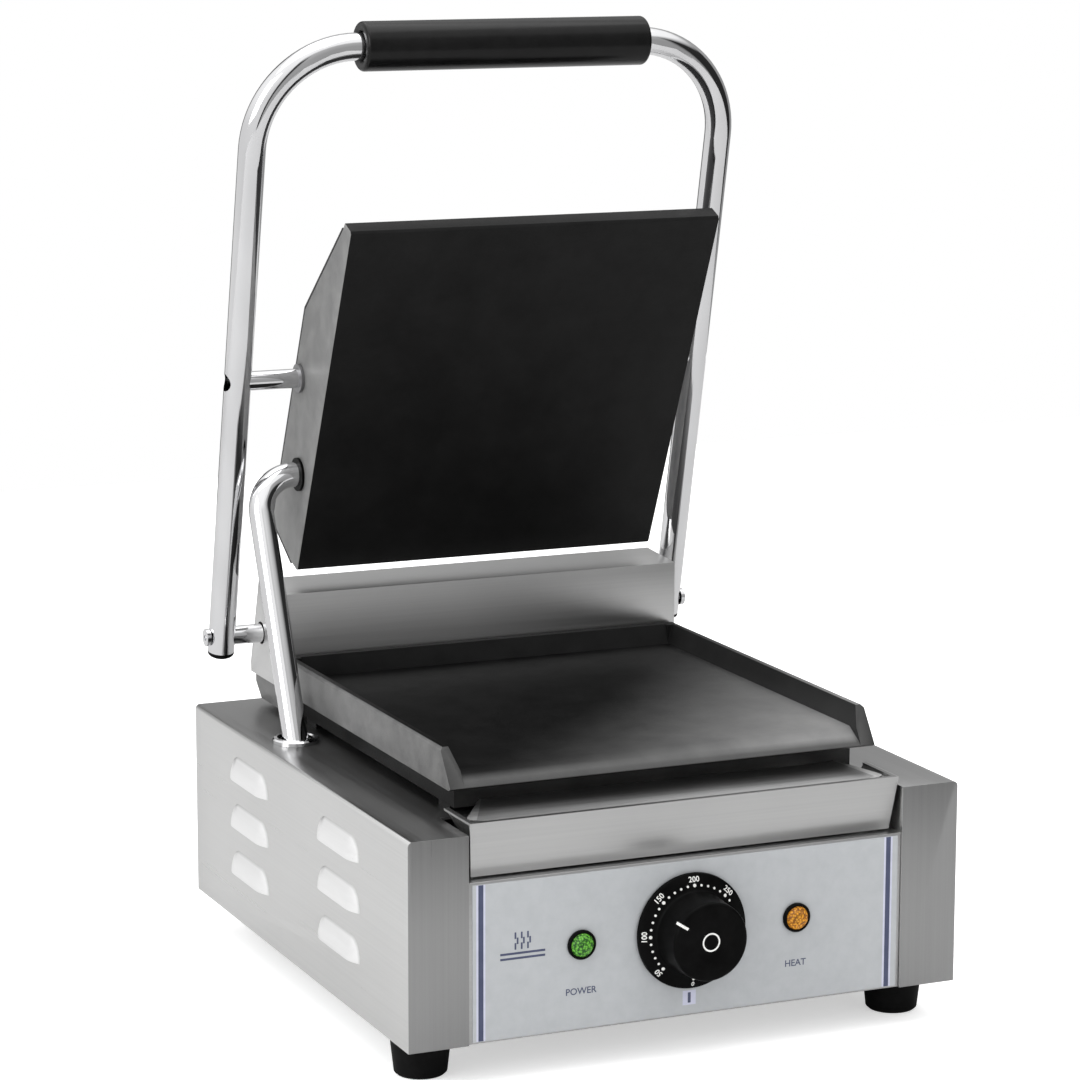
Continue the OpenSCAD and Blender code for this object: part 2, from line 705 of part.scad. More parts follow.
// The U-shaped tube's path as a solid of the given radius
module handle_path(r) {
  both_sides() {
    translate([-arm_x, 0, arm_low]) cylinder(r = r, h = straight_top - arm_low);
    translate([-arm_x + bend_r, 0, straight_top]) rotate([90, 0, 0]) rotate([0, 0, 90])
      rotate_extrude(angle = 90, $fn = 96) translate([bend_r, 0]) circle(r, $fn = 40);
  }
  rod_x(-arm_x + bend_r, arm_span - 2 * bend_r, r, [0, arm_top]);
}

module handle_frame() color("silver") on_arm() difference() {
  handle_path(tube_r);
  handle_path(tube_in);
  both_sides() {
    rod_x(-arm_x, 20, stud_d / 2 + fit);
    rod_x(-arm_x - 20, 20, stud_hole_r);
    rod_x(-arm_x, 20, axle_r + fit, [0, -norm(stud - axle)]);
    rod_x(-arm_x - 20, 20, screw_d / 2 + 0.1, [0, -norm(stud - axle)]);
  }
}

grip_half = 78.3;
grip_r = 12.6;
grip_at = 2.3;                      // middle of the grip from the middle of the handle
module handle_grip() color("black") on_arm() translate([grip_at - grip_half, 0, arm_top]) rotate([0, 90, 0])
  difference() {
  rotate_extrude() {
    polygon(concat(
      [for (a = [0 : 18 : 90]) [grip_r - 3 + 3 * sin(a), 3 - 3 * cos(a)]],
      [for (a = [90 : -18 : 0]) [grip_r - 3 + 3 * sin(a), 2 * grip_half - 3 + 3 * cos(a)]],
      [[0, 2 * grip_half], [0, 0]]
    ));
  }
  translate([0, 0, -1]) cylinder(r = tube_r + fit, h = 2 * grip_half + 2);
}

// Black plugs in the arms' open lower ends
module tube_end_plugs() color("black") on_arm() both_sides() translate([-arm_x, 0, arm_low - fit])
  rotate_extrude() polygon(concat(
    [[0, 2], [tube_in - fit, 2], [tube_in - fit, 0], [tube_r, 0], [tube_r, -1]],
    [for (a = [15 : 15 : 90]) [tube_r * cos(a), -1 - 3 * sin(a)]]
  ));

module arm_screw() {
  translate([-arm_x - tube_r - 0.02, 0, 0]) rotate([0, -90, 0]) difference() {
    union() {
      cylinder(r = 4.6, h = 2.2);
      translate([0, 0, -12]) cylinder(r = screw_d / 2, h = 12);
    }
    translate([0, 0, 1]) cylinder(r = 1.8, h = 3, $fn = 6);
  }
}

module axle_screws() color("lightgray") on_arm() both_sides() translate([0, 0, -norm(stud - axle)])
  arm_screw();

// Sunk in the arm's side hole, with the head on the stud's end
module stud_screws() color("dimgray") on_arm() both_sides()
  translate([-arm_x + 1 - fit, 0, 0]) rotate([0, -90, 0]) pan_screw(screw_d, 11);

// Studs from the arms into the platen's sides
module platen_studs() color("silver") on_arm() for (s = [-1, 1]) {
  inner = s * (platen_x - 12) + handle_shift;
  outer = s * (arm_x - 1);
  difference() {
    rod_x(min(inner, outer), abs(outer - inner), stud_d / 2);
    rod_x(s < 0 ? -arm_x : arm_x - 14, 14, screw_d / 2 + fit);
  }
}

// ---- upper platen --------------------------------------------------------------------------

wall = 6;
// the conduit's swivel, along the face and above it
swivel_s = stud_s + (swivel - stud) * [cos(open_angle), -sin(open_angle)];
swivel_h = stud_h + (swivel - stud) * [sin(open_angle), cos(open_angle)];
cover_spots = [[-87, 82], [87, 82], [-87, 186], [87, 186]];
cover_under = hump_h - cover_t;
clamp_spots = [[0, 70], [0, 160]];

// Side view of the platen, from [along the face, above the face]
module platen_profile() {
  polygon([
    [0, 1.2], [1.2, 0], [platen - 1.2, 0], [platen, 1.2], [platen + 0.6, edge_h], [hump_b, cover_under],
    [hump_a, cover_under], [4, edge_h], [0, edge_h - 1]
  ]);
}

// Extrudes a side view across the platen
module across(half) {
  rotate([90, 0, 90]) translate([0, 0, -half]) linear_extrude(2 * half) children();
}

module upper_platen() color([0.1, 0.1, 0.1]) on_platen() {
  difference() {
    across(platen_x) platen_profile();
    across(platen_x - wall) polygon([
      [30, 12], [platen - 8, 12], [platen - 7, 14], [hump_b - wall, hump_h], [hump_a, hump_h], [30, 22]
    ]);
    both_sides() rod_x(-platen_x - 1, wall + 2, stud_d / 2 + stud_bush, [stud_s, stud_h]);
    rod_x(-platen_x - 1, wall + 4, conduit_r + 1.6, [swivel_s, swivel_h]);
  }
  for (p = cover_spots) translate([p[0], p[1], 11]) difference() {
    cylinder(r = 5, h = cover_under - 11);
    translate([0, 0, 8]) cylinder(r = screw_d / 2 + 0.05, h = 40);
  }
}

module platen_bushes() color("goldenrod") on_platen() both_sides() translate([0, stud_s, stud_h])
  difference() {
  union() {
    rod_x(-platen_x + 0.2, wall - 0.2, stud_d / 2 + stud_bush - fit);
    rod_x(-platen_x - 1.6, 1.5, stud_d / 2 + 2.4);
  }
  rod_x(-platen_x - 3, wall + 5, stud_d / 2 + fit);
}

module upper_element() color("dimgray") on_platen() translate([0, 112, 15.6]) {
  element(116, 38, 4, 6.4);
  for (y = [-57, 57]) translate([-58, y, 0]) rotate([0, -90, 0]) cylinder(d = 5, h = 12);
}

module upper_clamp_plate() color("gray") on_platen() difference() {
  translate([-72, 40, 19]) cube([144, 146, 1.2]);
  for (p = clamp_spots) translate([p[0], p[1], 18]) cylinder(r = 3, h = 4);
}

module platen_cover() color([0.08, 0.08, 0.08]) on_platen() difference() {
  t = cover_t;
  gap = 2 * fit;
  across(platen_x) polygon([
    [4, edge_h + gap], [hump_a, cover_under + gap], [hump_b + gap, cover_under + gap],
      [platen + 0.6 + gap, edge_h],
    [platen + 0.6 + t, edge_h], [hump_b + t * 0.85, hump_h], [hump_a - t * 0.25, hump_h],
      [4 - gap, edge_h + t]
  ]);
  for (p = cover_spots) translate([p[0], p[1], hump_h - 5]) cylinder(r = screw_d / 2 + 0.05, h = 8);
}

module platen_cover_screws() color("dimgray") on_platen() for (p = cover_spots)
  translate([p[0], p[1], hump_h + fit]) pan_screw(screw_d, 9);

// ---- conduit -------------------------------------------------------------------------------

module conduit_bush() color("black") on_platen() translate([0, swivel_s, swivel_h]) difference() {
  union() {
    rod_x(-platen_x + 0.2, wall, conduit_r + 1.6 - fit);
    rod_x(-platen_x - 1.4, 1.3, conduit_r + 2.2);
    rod_x(-platen_x - 1, 1.3, conduit_r + 1.5);
  }
  rod_x(-platen_x - 4, wall + 8, conduit_r + fit);
}

// The conduit's path as a solid of the given radius
module conduit_path(r, low, stub) {
  rod_x(conduit_bend, stub - conduit_bend, r);
  translate([conduit_bend, 0, -conduit_bend]) rotate([90, 0, 0]) rotate([0, 0, 90])
    rotate_extrude(angle = 90, $fn = 96) translate([conduit_bend, 0]) circle(r, $fn = 40);
  translate([0, 0, low]) cylinder(r = r, h = -conduit_bend - low);
}

module conduit_tube() color("silver") on_conduit() {
  stub = -platen_x + wall + 1.5 - conduit_x;
  difference() {
    conduit_path(conduit_r, -conduit_end, stub);
    conduit_path(conduit_r - 1, -conduit_end - 1, stub + 1);
  }
}

module conduit_ferrule() color("silver") placed() translate([conduit_x, ferrule[0], z1 + fit])
  rotate_extrude() polygon([[ferrule_r - 0.1, 0], [12, 0], [12, 1.8], [11.2, 2.6], [ferrule_r + 0.6,
    2.8], [ferrule_r - 0.1, 2.1]]);

// ---- electrical ----------------------------------------------------------------------------

block_x = 62;
block_y = 118;
module terminal_block() color("ivory") placed() translate([block_x, block_y, z0 + sheet + 0.2])
  difference() {
  union() {
    translate([-24, -9, 0]) cube([48, 18, 6]);
    for (x = [-16, 0, 16]) translate([x - 6, -9, 0]) cube([12, 18, 15]);
  }
  for (x = [-16, 0, 16]) {
    for (y = [-4.5, 4.5]) translate([x, y, 8]) cylinder(r = 2, h = 10);
    rod_y(-12, 24, 2, x, 10);
  }
}

cord_r = 4.25;
module cord_gland() color("black") placed() translate([gland_x, back_y - 0.1, gland_z])
  rotate([-90, 0, 0]) {
  rotate_extrude() polygon([
    [cord_r, -16], [gland_r, -16], [gland_r, fit], [11, fit], [11, 4], [9.4, 4.6], [9.4, 6],
      [10.4, 6.4], [10.4, 11],
    [9, 14], [6.4, gland_out + 0.1], [cord_r, gland_out + 0.1]
  ]);
  translate([0, 0, fit]) difference() {
    cylinder(r = 12.4, h = 4, $fn = 6);
    translate([0, 0, -1]) cylinder(r = 8, h = 6);
  }
  translate([0, 0, -sheet - fit - 4]) difference() {
    cylinder(r = 12.4, h = 4, $fn = 6);
    translate([0, 0, -1]) cylinder(r = 7.5, h = 6);
  }
}

// Sleeved leads from the terminal block to the thermostat and the lamps
module wiring_loom() color("saddlebrown") placed() {
  low = z0 + 9;
  from_y = block_y - 14;
  run([[block_x - 16, from_y, low + 3], [block_x - 16, 60, low], [9, -60, low], [9, -96, cz - 4]], 3);
  run([[block_x, from_y, low + 3], [block_x, 40, low], [lamp_x - 4, -70, low],
    [lamp_x, -116, cz - 0.5]], 3);
  run([[block_x - 22, from_y + 5, low + 16], [20, 60, low + 12], [-50, -60, low + 6], [-lamp_x, -116,
    cz - 0.5]], 3);
}

// ---- assembly ------------------------------------------------------------------------------

housing_shell();
rear_panel();
rear_panel_screws();
base_plate();
base_screws();
feet();
foot_screws();
control_panel();
fascia_overlay();
thermostat_body();
sensor_capillary();
thermostat_spindle();
thermostat_knob();
power_lamp_holder();
power_lamp_lens();
heat_lamp_holder();
heat_lamp_lens();
drip_tray();
tray_guides();
lower_plate();
plate_spacers();
plate_bolts();
lower_element();
lower_clamp_plate();
hinge_bracket();
hinge_bracket_bolts();
rear_cover();
rear_cover_screws();
axle_bushes();
torsion_springs();
conduit_ferrule();
terminal_block();
cord_gland();
wiring_loom();
handle_frame();
handle_grip();
tube_end_plugs();
hinge_axle();
axle_screws();
spring_collars();
platen_studs();
stud_screws();
upper_platen();
platen_bushes();
upper_element();
upper_clamp_plate();
platen_cover();
platen_cover_screws();
conduit_bush();
conduit_tube();
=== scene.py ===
# %% [markdown]
# # Panini press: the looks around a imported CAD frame
# The press is a folded stainless housing, two cast plates, a bent chrome handle and a small front
# panel. The CAD frame already holds every part at its true place and size, so this script never
# moves one. It gives each part its finish, and it models again the few parts whose real detail
# is finer than the CAD: the edges of sheet and castings, the dial, the lamps, the grip, the print.

# %% The frame and its box
import json
import math

import bpy
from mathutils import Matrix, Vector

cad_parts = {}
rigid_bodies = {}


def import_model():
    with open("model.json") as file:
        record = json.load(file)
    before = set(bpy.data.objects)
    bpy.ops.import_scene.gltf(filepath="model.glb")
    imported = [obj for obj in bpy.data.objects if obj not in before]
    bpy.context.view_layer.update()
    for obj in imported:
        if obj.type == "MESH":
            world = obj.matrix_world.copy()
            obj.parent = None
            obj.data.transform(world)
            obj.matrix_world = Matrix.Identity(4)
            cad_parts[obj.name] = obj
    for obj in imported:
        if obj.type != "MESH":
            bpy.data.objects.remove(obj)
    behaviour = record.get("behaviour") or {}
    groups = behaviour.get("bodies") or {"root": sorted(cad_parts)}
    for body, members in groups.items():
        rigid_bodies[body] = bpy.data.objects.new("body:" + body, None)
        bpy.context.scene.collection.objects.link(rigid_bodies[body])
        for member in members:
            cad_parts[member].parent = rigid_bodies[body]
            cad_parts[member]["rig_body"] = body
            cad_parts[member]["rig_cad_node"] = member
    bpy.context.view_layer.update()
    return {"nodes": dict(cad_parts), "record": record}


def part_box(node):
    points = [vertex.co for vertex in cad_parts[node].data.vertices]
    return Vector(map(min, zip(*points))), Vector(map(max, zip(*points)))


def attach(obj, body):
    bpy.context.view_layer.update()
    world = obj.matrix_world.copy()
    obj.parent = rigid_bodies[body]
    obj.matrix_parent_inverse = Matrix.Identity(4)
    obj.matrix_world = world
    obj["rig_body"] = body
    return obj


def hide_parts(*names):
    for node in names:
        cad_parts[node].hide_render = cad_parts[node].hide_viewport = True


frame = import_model()
nodes = frame["nodes"]
MM = 0.001


def span(node):
    """The node's lowest corner, highest corner and middle."""
    low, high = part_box(node)
    return low, high, (low + high) / 2


# %% [markdown]
# ## Camera
# The press is seen from its left front and a little above, from about two metres. A wide lens close by
# would spread the near corner, so a long lens is used, which keeps the plates' edges nearly parallel.
# A camera can be aimed at an empty with a constraint. Three plain angles are easier to read and to
# change: the azimuth it looks along, its elevation above the press, and a hint of roll.

# %% The camera
def deselect():
    """An operator acts on all that is selected, so everything is let go first."""
    bpy.ops.object.select_all(action="DESELECT")


AZIMUTH, ELEVATION, ROLL = math.radians(-23.772), math.radians(10.68), math.radians(-0.1225)
CAMERA_AT = (-0.76129, -1.69602, 0.57715)
LENS, SENSOR, FAR_LIMIT = 124.896, 36, 60       # mm, mm and m

deselect()
bpy.ops.object.camera_add(location=CAMERA_AT, rotation=(math.pi / 2 - ELEVATION, ROLL, AZIMUTH))
camera = bpy.context.active_object
camera.name = "studio_camera"
camera.data.lens = LENS
camera.data.sensor_width = SENSOR
camera.data.clip_end = FAR_LIMIT
bpy.context.scene.camera = camera
print("camera looks along azimuth", round(math.degrees(AZIMUTH), 1))

# %% [markdown]
# ## Studio
# Polished metal shows the room more than it shows itself. A plain white room would make the chrome
# look like plaster, so the room has a bright ceiling, softer walls and a few dark upright cards, as
# a product studio has. The cards could be real planes round the press. Here they are bands of one
# colour ramp over the azimuth, because a band moves by changing one number and casts no shadow.
# Only light and reflections see the room. To the camera the backdrop stays white, and the Light Path
# node makes that split.

# %% Helpers for nodes
def link(tree, made_by, used_by):
    tree.links.new(made_by, used_by)


def maths(tree, kind, first, second=None, third=None, clamp=False):
    """A Math node. Each input is a number or another node's output."""
    node = tree.nodes.new("ShaderNodeMath")
    node.operation = kind
    node.use_clamp = clamp
    for socket, value in zip(node.inputs, (first, second, third)):
        if value is None:
            continue
        if isinstance(value, (int, float)):
            socket.default_value = value
        else:
            link(tree, value, socket)
    return node.outputs[0]


def ramp(tree, value, *stops):
    """A colour ramp through (position, brightness or colour) stops."""
    node = tree.nodes.new("ShaderNodeValToRGB")
    link(tree, value, node.inputs["Fac"])
    while len(node.color_ramp.elements) < len(stops):
        node.color_ramp.elements.new(0.5)
    for element, (place, tint) in zip(node.color_ramp.elements, stops):
        element.position = place
        element.color = (tint, tint, tint, 1) if isinstance(tint, (int, float)) else (*tint, 1)
    return node.outputs["Color"]


# %% The room that the metal reflects
# (azimuth, brightness) of the walls. The azimuth is in half turns: 0 is the back, 0.5 the right.
WALLS = [(-1.0, 0.50), (-0.955, 0.50), (-0.94, 0.05), (-0.90, 0.05), (-0.885, 1.0), (-0.14, 1.0),
         (-0.06, 0.55), (-0.04, 0.04), (0.02, 0.04), (0.05, 0.45), (0.45, 0.40), (0.48, 0.03),
         (0.75, 0.03), (0.79, 0.42), (1.0, 0.50)]
CEILING = [(0.0, 0.6), (0.40, 0.85), (0.56, 0.85), (0.75, 1.12), (1.0, 1.3)]     # (height, brightness)

world = bpy.data.worlds.new("studio_room")
bpy.context.scene.world = world
world.use_nodes = True
room = world.node_tree
room.nodes.clear()
direction = room.nodes.new("ShaderNodeTexCoord").outputs["Generated"]
parts = room.nodes.new("ShaderNodeSeparateXYZ")
link(room, direction, parts.inputs[0])
height = maths(room, "MULTIPLY_ADD", parts.outputs["Z"], 0.5, 0.5)
ceiling = ramp(room, height, *CEILING)
turn = maths(room, "ARCTAN2", parts.outputs["X"], parts.outputs["Y"])
half_turns = maths(room, "DIVIDE", turn, math.pi)
around = maths(room, "MULTIPLY_ADD", half_turns, 0.5, 0.5)
upright = ramp(room, around, *[(place / 2 + 0.5, level) for place, level in WALLS])
overhead = maths(room, "MULTIPLY_ADD", height, 8.0, -5.6, clamp=True)    # 1 high up, where no card reaches
upright = maths(room, "MAXIMUM", upright, overhead)
lit = room.nodes.new("ShaderNodeMix")
lit.data_type = "RGBA"
lit.blend_type = "MULTIPLY"
lit.inputs["Factor"].default_value = 1.0
link(room, ceiling, lit.inputs["A"])
link(room, upright, lit.inputs["B"])
rays = room.nodes.new("ShaderNodeLightPath")
seen = room.nodes.new("ShaderNodeMix")
seen.data_type = "RGBA"
link(room, rays.outputs["Is Camera Ray"], seen.inputs["Factor"])
link(room, lit.outputs["Result"], seen.inputs["A"])
seen.inputs["B"].default_value = (1, 1, 1, 1)
backdrop = room.nodes.new("ShaderNodeBackground")
link(room, seen.outputs["Result"], backdrop.inputs["Color"])
link(room, backdrop.outputs[0], room.nodes.new("ShaderNodeOutputWorld").inputs["Surface"])
bpy.context.scene.view_settings.view_transform = "Standard"
print("room with", len(WALLS), "steps of brightness round its walls")

# %% [markdown]
# ### The floor and the lamps
# The press stands on a pale floor that runs into the white backdrop, so only its soft contact shadow
# shows. A floor that glows enough for that would also light the sheet metal from below until it looks
# flat. So the floor is three things to three kinds of rays: it glows a little to the camera, it is
# plain and pale to diffuse light, and it is darker to the metal's reflections. It is kept small, so
# that low reflections run past its edge into the room. Three area lamps give soft light, and the
# front one stays out of reflections, because its bright patch would show on the front panel.

# %% The floor
FLOOR_SIZE, FLOOR_BELOW = 2.6, 0.0002     # m, and just under the feet
GLOW, PALE, MIRRORED_PALE = 0.5, 0.9, 0.55

deselect()
bpy.ops.mesh.primitive_plane_add(size=FLOOR_SIZE, location=(0, 0.2, -FLOOR_BELOW))
floor = bpy.context.active_object
floor.name = "studio_floor"
bpy.ops.object.transform_apply(location=True, rotation=True, scale=True)
pale = bpy.data.materials.new("pale_floor")
pale.use_nodes = True
sheen = pale.node_tree.nodes["Principled BSDF"].inputs
sheen["Roughness"].default_value = 0.9
sheen["Emission Color"].default_value = (1, 1, 1, 1)
rays = pale.node_tree.nodes.new("ShaderNodeLightPath").outputs
glow = maths(pale.node_tree, "MULTIPLY", rays["Is Camera Ray"], GLOW)
link(pale.node_tree, glow, sheen["Emission Strength"])
paleness = ramp(pale.node_tree, rays["Is Glossy Ray"], (0.0, PALE), (1.0, MIRRORED_PALE))
link(pale.node_tree, paleness, sheen["Base Color"])
floor.data.materials.append(pale)
print("floor is", FLOOR_SIZE, "m wide")

# %% The lamps
def softbox(name, place, aim, width, depth, watts, mirrored=True):
    """An area lamp at place that faces the point aim; the metal may show it or not."""
    deselect()
    bpy.ops.object.light_add(type="AREA", location=place)
    lamp = bpy.context.active_object
    lamp.name = name
    lamp.data.shape = "RECTANGLE"
    lamp.data.size, lamp.data.size_y = width, depth
    lamp.data.energy = watts
    away = lamp.location - type(lamp.location)(aim)
    lamp.rotation_euler = away.to_track_quat("Z", "Y").to_euler()
    lamp.visible_glossy = mirrored


softbox("softbox_top", (-0.2, 0.2, 2.4), (0, 0, 0.1), 2.4, 2.4, 26)
softbox("softbox_left", (-2.2, -0.6, 1.3), (0, 0, 0.2), 1.4, 1.6, 22)
softbox("softbox_front", (0.9, -2.3, 1.2), (0, 0, 0.2), 1.2, 1.2, 9, mirrored=False)

# %% [markdown]
# ## Finishes: the groups that several materials share
# Sheet metal, castings and mouldings all vary a little over their surface. Each effect is one node
# group with named inputs, and each material places it with its own values. The groups give out only
# masks and heights. The shader itself, with its plain numbers, stays in the material.

# %% Helpers for groups
def new_group(name, numbers, outputs):
    """A shader node group with number inputs (name: default) and number outputs."""
    group = bpy.data.node_groups.new(name, "ShaderNodeTree")
    for title, value in numbers.items():
        socket = group.interface.new_socket(title, in_out="INPUT", socket_type="NodeSocketFloat")
        socket.default_value = value
    for title in outputs:
        group.interface.new_socket(title, in_out="OUTPUT", socket_type="NodeSocketFloat")
    return group, group.nodes.new("NodeGroupInput").outputs, group.nodes.new("NodeGroupOutput").inputs


def stretched(tree, scales):
    """Object coordinates multiplied by three numbers, each a value or another node's output."""
    place = tree.nodes.new("ShaderNodeTexCoord").outputs["Object"]
    size = tree.nodes.new("ShaderNodeCombineXYZ")
    for socket, value in zip(size.inputs, scales):
        if isinstance(value, (int, float)):
            socket.default_value = value
        else:
            link(tree, value, socket)
    product = tree.nodes.new("ShaderNodeVectorMath")
    product.operation = "MULTIPLY"
    link(tree, place, product.inputs[0])
    link(tree, size.outputs[0], product.inputs[1])
    return product.outputs[0]


def noise(tree, vector, detail=3.0, rough=0.55):
    """Noise whose size is all in the vector, so its own scale stays 1."""
    node = tree.nodes.new("ShaderNodeTexNoise")
    node.inputs["Scale"].default_value = 1.0
    node.inputs["Detail"].default_value = detail
    node.inputs["Roughness"].default_value = rough
    link(tree, vector, node.inputs["Vector"])
    return node.outputs["Fac"]


# %% [markdown]
# ### Brushed grain
# A belt brushes stainless sheet before it is folded, so the scratches run one way on each face: along
# the depth on the sides and the top, and up and down on the front columns. Lines painted in an image
# would need every fold unwrapped. Noise stretched more than a hundred times along one axis gives such
# lines anywhere, and the face's own normal picks which axis. The tray, the panel and the rear cover
# are brushed across, so the input Across turns their lines along the width.

# %% Brushed grain
group, given, out = new_group("brushed_grain", {"Fineness": 900.0, "Run": 6.0, "Across": 0.0},
                              ["Grain", "Cloud"])
along_depth = noise(group, stretched(group, (given["Fineness"], given["Run"], given["Fineness"])))
along_height = noise(group, stretched(group, (given["Fineness"], given["Fineness"], given["Run"])))
facing = group.nodes.new("ShaderNodeSeparateXYZ")
link(group, group.nodes.new("ShaderNodeTexCoord").outputs["Normal"], facing.inputs[0])
front = maths(group, "GREATER_THAN", maths(group, "ABSOLUTE", facing.outputs["Y"]), 0.6)
pick = group.nodes.new("ShaderNodeMix")
link(group, front, pick.inputs["Factor"])
link(group, along_depth, pick.inputs["A"])
link(group, along_height, pick.inputs["B"])
turned_lines = group.nodes.new("ShaderNodeMix")
link(group, given["Across"], turned_lines.inputs["Factor"])
link(group, pick.outputs["Result"], turned_lines.inputs["A"])
across = stretched(group, (given["Run"], given["Fineness"], given["Fineness"]))
link(group, noise(group, across), turned_lines.inputs["B"])
link(group, turned_lines.outputs["Result"], out["Grain"])
link(group, noise(group, stretched(group, (9, 7, 9)), detail=2.0), out["Cloud"])
brushed_grain = group
print(group.name, "takes", [item.name for item in group.interface.items_tree if item.in_out == "INPUT"])

# %% [markdown]
# ### Cast skin, smudges and edge wear
# Sand casting leaves fine pits with a coarser mottle. Handled metal and plastic carry faint smudges,
# long soft patches that change only the gloss. Edge wear uses Pointiness of the geometry's curvature,
# which is high on an outer edge, and breaks it up with noise.

# %% Cast skin
group, given, out = new_group("cast_skin", {"Pit size": 1400.0, "Mottle size": 90.0}, ["Pits", "Mottle"])
size = given["Pit size"]
link(group, noise(group, stretched(group, (size, size, size)), detail=2.0, rough=0.7), out["Pits"])
size = given["Mottle size"]
link(group, noise(group, stretched(group, (size, size, size)), detail=4.0, rough=0.6), out["Mottle"])
cast_skin = group

# %% Smudges
group, given, out = new_group("smudges", {"Size": 22.0, "Cover": 0.5}, ["Smudge"])
patch = noise(group, stretched(group, (given["Size"], given["Size"], given["Size"])), detail=5.0)
low = maths(group, "SUBTRACT", patch, given["Cover"])
link(group, maths(group, "MULTIPLY", low, 3.0, clamp=True), out["Smudge"])
smudges = group

# %% Edge wear
group, given, out = new_group("edge_wear", {"Sharpness": 8.0, "Break up": 220.0}, ["Edge"])
curve = group.nodes.new("ShaderNodeNewGeometry").outputs["Pointiness"]
high = maths(group, "MULTIPLY", maths(group, "SUBTRACT", curve, 0.51), given["Sharpness"], clamp=True)
size = given["Break up"]
broken = noise(group, stretched(group, (size, size, size)), detail=2.0)
link(group, maths(group, "MULTIPLY", high, maths(group, "ADD", broken, 0.4), clamp=True), out["Edge"])
edge_wear = group
print("groups:", [g.name for g in bpy.data.node_groups])

# %% [markdown]
# ## Finishes: the materials
# A material starts from plain numbers on its Principled shader. Then a group's mask moves between
# two tints or two roughnesses, and a Bump node turns a height into small relief. The helpers below
# keep each material to a few lines.

# %% Helpers for materials
materials = {}


def start_material(name, tint, rough, metal=0.0, **plain):
    """A Principled material whose unvarying values are set on the shader's own sockets."""
    material = bpy.data.materials.new(name)
    material.use_nodes = True
    tree = material.node_tree
    shader = tree.nodes["Principled BSDF"]
    shader.inputs["Base Color"].default_value = (*tint, 1)
    shader.inputs["Roughness"].default_value = rough
    shader.inputs["Metallic"].default_value = metal
    for title, value in plain.items():
        shader.inputs[title.replace("_", " ")].default_value = value
    materials[name] = material
    return tree, shader


def use(tree, group, **values):
    """Places a group in a material with its own values."""
    node = tree.nodes.new("ShaderNodeGroup")
    node.node_tree = group
    for title, value in values.items():
        node.inputs[title.replace("_", " ")].default_value = value
    return node.outputs


def two_tints(tree, mask, first, second):
    """A tint or a grey level that goes from first to second over the middle of the mask."""
    return ramp(tree, mask, (0.3, first), (0.7, second))


def tint_between(tree, mask, first, second, socket):
    """Leads such a tint into a socket."""
    link(tree, two_tints(tree, mask, first, second), socket)


def vary(tree, mask, low, high, socket):
    """A number that goes from low to high with the mask."""
    node = tree.nodes.new("ShaderNodeMapRange")
    node.inputs["To Min"].default_value = low
    node.inputs["To Max"].default_value = high
    link(tree, mask, node.inputs["Value"])
    link(tree, node.outputs["Result"], socket)


def relief(tree, height, shader, strength, distance):
    """Turns a height into small relief on the material's normal."""
    bump = tree.nodes.new("ShaderNodeBump")
    bump.inputs["Strength"].default_value = strength
    bump.inputs["Distance"].default_value = distance
    link(tree, height, bump.inputs["Height"])
    link(tree, bump.outputs["Normal"], shader.inputs["Normal"])


def axis_parts(tree, output):
    """X, Y and Z of the surface's place ("Object") or direction ("Normal")."""
    split = tree.nodes.new("ShaderNodeSeparateXYZ")
    link(tree, tree.nodes.new("ShaderNodeTexCoord").outputs[output], split.inputs[0])
    return split.outputs


def beyond(tree, value, limit, softness):
    """A mask that rises from 0 to 1 as the value passes a limit."""
    over = maths(tree, "SUBTRACT", value, limit)
    return maths(tree, "DIVIDE", over, softness, clamp=True)


def coat_over(tree, shader, bare_and_paler, mask, coat):
    """Where the mask is 1 the coat's colour takes the place of the bare metal's."""
    mix = tree.nodes.new("ShaderNodeMix")
    mix.data_type = "RGBA"
    link(tree, mask, mix.inputs["Factor"])
    link(tree, bare_and_paler, mix.inputs["A"])
    link(tree, coat, mix.inputs["B"])
    link(tree, mix.outputs["Result"], shader.inputs["Base Color"])
    return mix.outputs["Result"]


# %% [markdown]
# ### Sheet metals
# All the sheet is brushed stainless, and yet its faces look very different, because each one mirrors
# another part of the room. The room's bands give a part of that, and the material paints the rest in
# as painted reflection. A second material on some faces would need them picked by hand. So one
# material lays other tints over the first where the face's normal or its place says so: painted shade
# on the columns, which face the front, and on the top, which faces up, and a painted highlight on the
# louvres, which alone stand out past the flat side. The tray's sloping splash guard gets painted shade
# in the same way, and its middle is told from its folded ends by the normal's X.

# %% Brushed sheet
def brushed(name, dark, light, rough, fineness=900.0, strength=0.10, across=0.0):
    """Brushed sheet: tint, gloss and relief all follow the grain."""
    tree, shader = start_material(name, light, rough, metal=1.0)
    grain = use(tree, brushed_grain, Fineness=fineness, Across=across)
    smear = use(tree, smudges, Size=14.0, Cover=0.55)
    mixed = maths(tree, "MULTIPLY_ADD", grain["Grain"], 0.5, maths(tree, "MULTIPLY", grain["Cloud"], 0.5))
    tint_between(tree, mixed, dark, light, shader.inputs["Base Color"])
    gloss = maths(tree, "MULTIPLY_ADD", smear["Smudge"], 0.25, grain["Grain"])
    vary(tree, gloss, rough - 0.07, rough + 0.09, shader.inputs["Roughness"])
    relief(tree, grain["Grain"], shader, strength, 0.00004)
    return tree, shader, mixed, shader.inputs["Base Color"].links[0].from_socket


# %% The housing's stainless, with painted shade on its columns and top and a painted highlight on its louvres
FLAT_SIDE_X = 0.1452      # m from the middle; only the louvres stand further out

